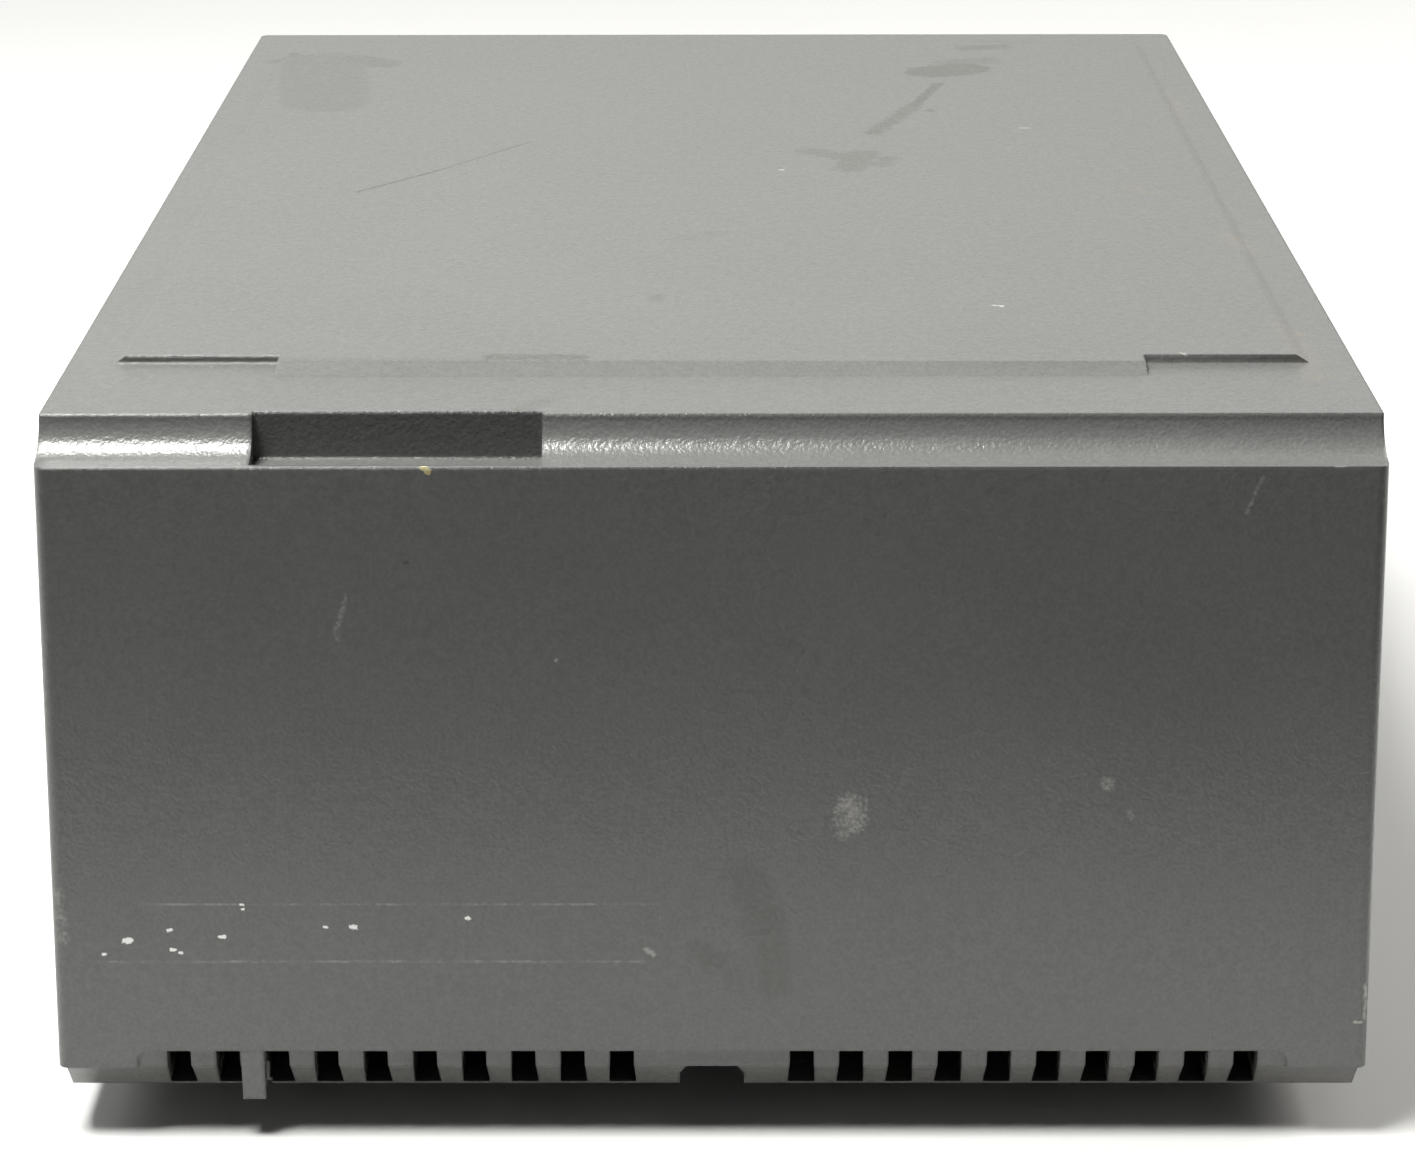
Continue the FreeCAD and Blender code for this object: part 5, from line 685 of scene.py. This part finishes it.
def glass_material(name, color):
    """Clear blown glass with a faint wave in it."""
    material, tree, shader = blank_material(name, Transmission_Weight=1.0, IOR=1.5)
    where = places(tree)
    wave = noise(tree, where, 0.006)
    bump = add(tree, "Bump", {"Distance": 0.00002, "Height": wave})
    tone = blend_color(tree, wave, tuple(color) + (1.0,), shade(color, 0.94))
    join(tree, tone, shader.inputs["Base Color"])
    join(tree, remap(tree, wave, 0.3, 0.7, 0.02, 0.06), shader.inputs["Roughness"])
    join(tree, bump.outputs[0], shader.inputs["Normal"])
    return material


FINISH["valve_glass"] = glass_material("valve_glass", (0.95, 0.97, 0.96))
PRINT = finish_material("white_print", (0.62, 0.62, 0.60), 0.5, grain=0.0004, depth=0.000003, wear=0.4,
                        worn=(0.3, 0.3, 0.3))

for node_name, part in NODES.items():
    dress(part, FINISH[slot_of(node_name)])


# =================================================================== pieces

# How far each moulded or pressed part's arrises are rounded, and in how many steps
SOFT_EDGES = {
    "top_cover": (0.00030, 3),
    "base_pan": (0.00025, 2),
    "rear_panel": (0.00015, 2),
    "mains_inlet": (0.00025, 2),
    "fuse_drawer": (0.00025, 2),
    "power_switch": (0.00025, 2),
    "power_rocker": (0.00040, 3),
    "output_shell": (0.00025, 2),
    "input_jack_nut": (0.00025, 2),
    "link_jack_nut": (0.00025, 2),
    "pad_slider": (0.00030, 2),
    "ground_lift_slider": (0.00030, 2),
    "polarity_slider": (0.00030, 2),
    "inlet_pins": (0.00020, 2),
    "lamp_bezel": (0.00020, 2),
}
FOOT_RADIUS = 0.008
PAN_HEAD = {"radius": 0.0028, "high": 0.0018, "shank": 0.0015}
SMALL_HEAD = {"radius": 0.0022, "high": 0.0013, "shank": 0.0012}


def finish_edges():
    """The parts whose arrises show, each with its edges rounded off."""
    for node, (width, segments) in SOFT_EDGES.items():
        dress(softened(node, width, segments), FINISH[slot_of(node)], BODY_OF[node])


def box_middle(node):
    """The middle of a node's box."""
    low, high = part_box(node)
    return [(a + b) / 2 for a, b in zip(low, high)]


def make_feet():
    """Turned rubber feet with rounded rims and a dimple underneath."""
    low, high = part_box("feet")
    dimple = [(0.0, 0.0006), (0.0031, 0.0006), (0.0034, 0.0001)]
    profile = dimple + rounded(FOOT_RADIUS, low[2], high[2], 0.0008)[1:]
    pieces = [lathe("foot", profile, (x, y, 0.0))
              for x in (low[0] + FOOT_RADIUS, high[0] - FOOT_RADIUS)
              for y in (low[1] + FOOT_RADIUS, high[1] - FOOT_RADIUS)]
    feet = joined("rubber_feet", pieces)
    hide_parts("feet")
    dress(feet, FINISH["foot_rubber"])


def screw_set(name, node, spots, axis, long, head=PAN_HEAD):
    """Pan heads with their shanks behind them; each head's cross is turned its own way."""
    pieces = []
    shank = head["shank"]
    for number, spot in enumerate(spots):
        turn = 0.4 + 1.7 * number
        pieces.append(screw_head("head", spot, axis, head["radius"], head["high"], turn))
        pieces.append(lathe("shank", rounded(shank, -long, 0.0, shank * 0.2), spot, axis, count=24))
    made = joined(name, pieces)
    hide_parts(node)
    dress(made, FINISH[slot_of(node)])


def head_ends(node, side, head=PAN_HEAD):
    """The two places, along a side of a screw set's box, of the heads nearest its ends."""
    low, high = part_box(node)
    return low[side] + head["radius"], high[side] - head["radius"]


def make_rear_screws():
    """The screws of the panel, the inlet and the output connector, whose heads face the rear."""
    back = (0, 1, 0)
    for name, node, pairing in (("panel_screw_heads", "panel_screws", "corners"),
                                ("inlet_screw_heads", "inlet_screws", "level"),
                                ("output_screw_heads", "output_screws", "diagonal")):
        low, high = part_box(node)
        face = high[1] - PAN_HEAD["high"]
        left, right = head_ends(node, 0)
        bottom, top = head_ends(node, 2)
        middle = (low[2] + high[2]) / 2
        spots = {
            "corners": [(x, face, z) for x in (left, right) for z in (bottom, top)],
            "level": [(left, face, middle), (right, face, middle)],
            "diagonal": [(left, face, bottom), (right, face, top)],
        }[pairing]
        screw_set(name, node, spots, back, face - low[1])


def make_cover_screws():
    """The cover's screws, driven up through the base."""
    low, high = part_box("cover_screws")
    seat = low[2] + PAN_HEAD["high"]
    spots = [(x, y, seat) for x in head_ends("cover_screws", 0) for y in head_ends("cover_screws", 1)]
    screw_set("cover_screw_heads", "cover_screws", spots, (0, 0, -1), high[2] - seat)


def make_switch_screws():
    """Two small screws beside each slide switch's window."""
    low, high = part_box("slide_switch_screws")
    face, level = high[1] - SMALL_HEAD["high"], (low[2] + high[2]) / 2
    ear = 0.002
    spots = []
    for node in ("pad_switch", "ground_lift_switch", "polarity_switch"):
        left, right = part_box(node)
        spots += [(left[0] + ear, face, level), (right[0] - ear, face, level)]
    screw_set("switch_screw_heads", "slide_switch_screws", spots, (0, 1, 0), face - low[1], SMALL_HEAD)


def make_jack_threads():
    """Each bush has a fine thread: a sawtooth of rings between its nut and its end."""
    pitch, outer, inner, core = 0.0005, 0.00482, 0.0046, 0.0045
    for node in ("input_jack", "link_jack"):
        x, _, z = box_middle(node)
        start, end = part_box(node + "_nut")[1][1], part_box(node)[1][1] - 0.0004
        long = end - start
        count = int(long / pitch)
        teeth = [(radius, (number + share) * pitch) for number in range(count)
                 for radius, share in ((inner, 0.0), (outer, 0.5))]
        profile = [(core, 0.0)] + teeth + [(inner, count * pitch), (core, long)]
        thread = lathe(node + "_thread", profile, (x, start, z), (0, 1, 0))
        dress(thread, FINISH["nut_plate"])


def make_legends():
    """Plain function words and numbers printed on the rear panel, each set off from its control."""
    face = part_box("rear_panel")[1][1] + 0.00004
    large, medium, small = 0.0030, 0.0028, 0.0022
    words = (("input_jack", "INPUT", 0.0125, large), ("link_jack", "LINK", 0.0125, large),
             ("output_shell", "OUTPUT", 0.0183, large), ("pad_switch", "PAD", -0.0068, medium),
             ("ground_lift_switch", "LIFT", -0.0068, medium), ("polarity_switch", "PHASE", -0.0068, medium))
    rows = []
    for node, text, rise, tall in words:
        x, _, z = box_middle(node)
        rows.append((text, x, z + rise, tall))
    x, _, z = box_middle("pad_switch")
    for number, text in enumerate(("0", "20", "40")):
        rows.append((text, x + (number - 1) * 0.004, z + 0.0042, small))
    x, _, z = box_middle("power_switch")
    rows.append(("POWER", x, z - 0.0128, medium))
    pieces = [lettering("legend", text, (x, face, z), tall) for text, x, z, tall in rows]
    print_layer = joined("panel_legends", pieces)
    dress(print_layer, PRINT)


def make_rocker_marks():
    """A bar on the half that switches on, and a ring on the half that switches off.

    Both halves of the rocker's face slope down to its middle; the rocker rests tilted one way.
    """
    joints = frame["joints"]
    pivot = next(Vector(joint["pos_m"]) for joint in joints if joint["name"] == "power_rocker_tip")
    rest_tilt = Matrix.Rotation(math.radians(12.0), 4, "X")
    reach, dip, half = 0.0045, 0.0012, 0.0076
    clear = 0.00003
    pieces = []
    for side, text in ((-1, "I"), (1, "O")):
        middle = Vector((0.0, reach - dip * 0.5 + clear, side * half * 0.5))
        normal = Vector((0.0, half, -side * dip)).normalized()
        upright = Vector((0.0, side * dip, half)).normalized()
        middle, normal, upright = rest_tilt @ middle, rest_tilt @ normal, rest_tilt @ upright
        pieces.append(lettering("mark", text, pivot + middle, 0.0042, normal, upright))
    marks_piece = joined("rocker_marks", pieces)
    dress(marks_piece, PRINT, "power_rocker")


finish_edges()
make_feet()
make_rear_screws()
make_cover_screws()
make_switch_screws()
make_jack_threads()
make_legends()
make_rocker_marks()


# ============================================================ camera and light

def make_camera():
    """Looks down on the blank end from in front of it, all but square to it."""
    data = bpy.data.cameras.new("camera")
    data.sensor_width = 36.0
    data.lens = 90.72
    data.clip_start = 0.01
    data.clip_end = 20.0
    camera = bpy.data.objects.new("camera", data)
    bpy.context.collection.objects.link(camera)
    pitch, yaw, roll = math.radians(20.258), math.radians(-0.236), math.radians(-0.122)
    turn = (Matrix.Rotation(-yaw, 4, "Z") @ Matrix.Rotation(math.pi / 2 - pitch, 4, "X")
            @ Matrix.Rotation(roll, 4, "Z"))
    camera.matrix_world = Matrix.Translation((0.00112, -0.46926, 0.20354)) @ turn
    bpy.context.scene.camera = camera


def soft_light(name, at, towards, size, power, color=(1.0, 1.0, 1.0)):
    """A soft box: a glowing oblong that faces a place."""
    data = bpy.data.lights.new(name, "AREA")
    data.shape = "RECTANGLE"
    data.size, data.size_y = size
    data.energy = power
    data.color = color
    light = bpy.data.objects.new(name, data)
    bpy.context.collection.objects.link(light)
    light.location = at
    aim = Vector(towards) - Vector(at)
    light.rotation_euler = aim.to_track_quat("-Z", "Y").to_euler()


def make_stage():
    """A pale table, whose front edge is close in front of the object, so its face stays dark."""
    side, back, front = 4.0, 4.0, FRONT_Y - 0.10
    corners = np.array([(-side, front, 0.0), (side, front, 0.0), (side, back, 0.0), (-side, back, 0.0)])
    ground = mesh_object("floor", corners, np.array([(0, 1, 2, 3)]))
    material, tree, shader = blank_material("pale_floor", Roughness=0.9, Specular_IOR_Level=0.1)
    tone = noise(tree, places(tree), 0.2)
    body = blend_color(tree, tone, (0.65, 0.65, 0.65, 1.0), (0.67, 0.67, 0.67, 1.0))
    join(tree, body, shader.inputs["Base Color"])
    ground.data.materials.append(material)


def make_world():
    """A dim even grey all round."""
    world = bpy.data.worlds.new("studio")
    bpy.context.scene.world = world
    world.use_nodes = True
    back = next(item for item in world.node_tree.nodes if item.type == "BACKGROUND")
    back.inputs["Color"].default_value = (1.0, 0.995, 0.985, 1.0)
    back.inputs["Strength"].default_value = 0.07


make_camera()
make_stage()
make_world()
soft_light("overhead_box", (-0.20, -0.150, 0.65), (-0.05, -0.10, 0.08), (0.26, 0.22), 10.0,
           (1.0, 0.995, 0.96))
soft_light("back_wall", (0.0, 1.7, 0.50), (0.0, 0.0, 0.05), (3.2, 1.0), 6.5, (1.0, 0.99, 0.94))
soft_light("right_box", (0.85, 0.28, 0.55), (0.12, -0.05, 0.0), (0.5, 0.5), 4.5, (1.0, 0.97, 0.88))
soft_light("high_box", (0.0, 0.6, 1.5), (0.0, 0.4, 0.0), (2.0, 1.2), 6.0)
soft_light("left_back_box", (-1.1, 0.8, 0.8), (0.0, 0.5, 0.0), (0.6, 0.6), 7.0)
soft_light("right_back_box", (1.1, 0.8, 0.8), (0.0, 0.5, 0.0), (0.6, 0.6), 7.0)
bpy.context.scene.view_settings.view_transform = "Standard"
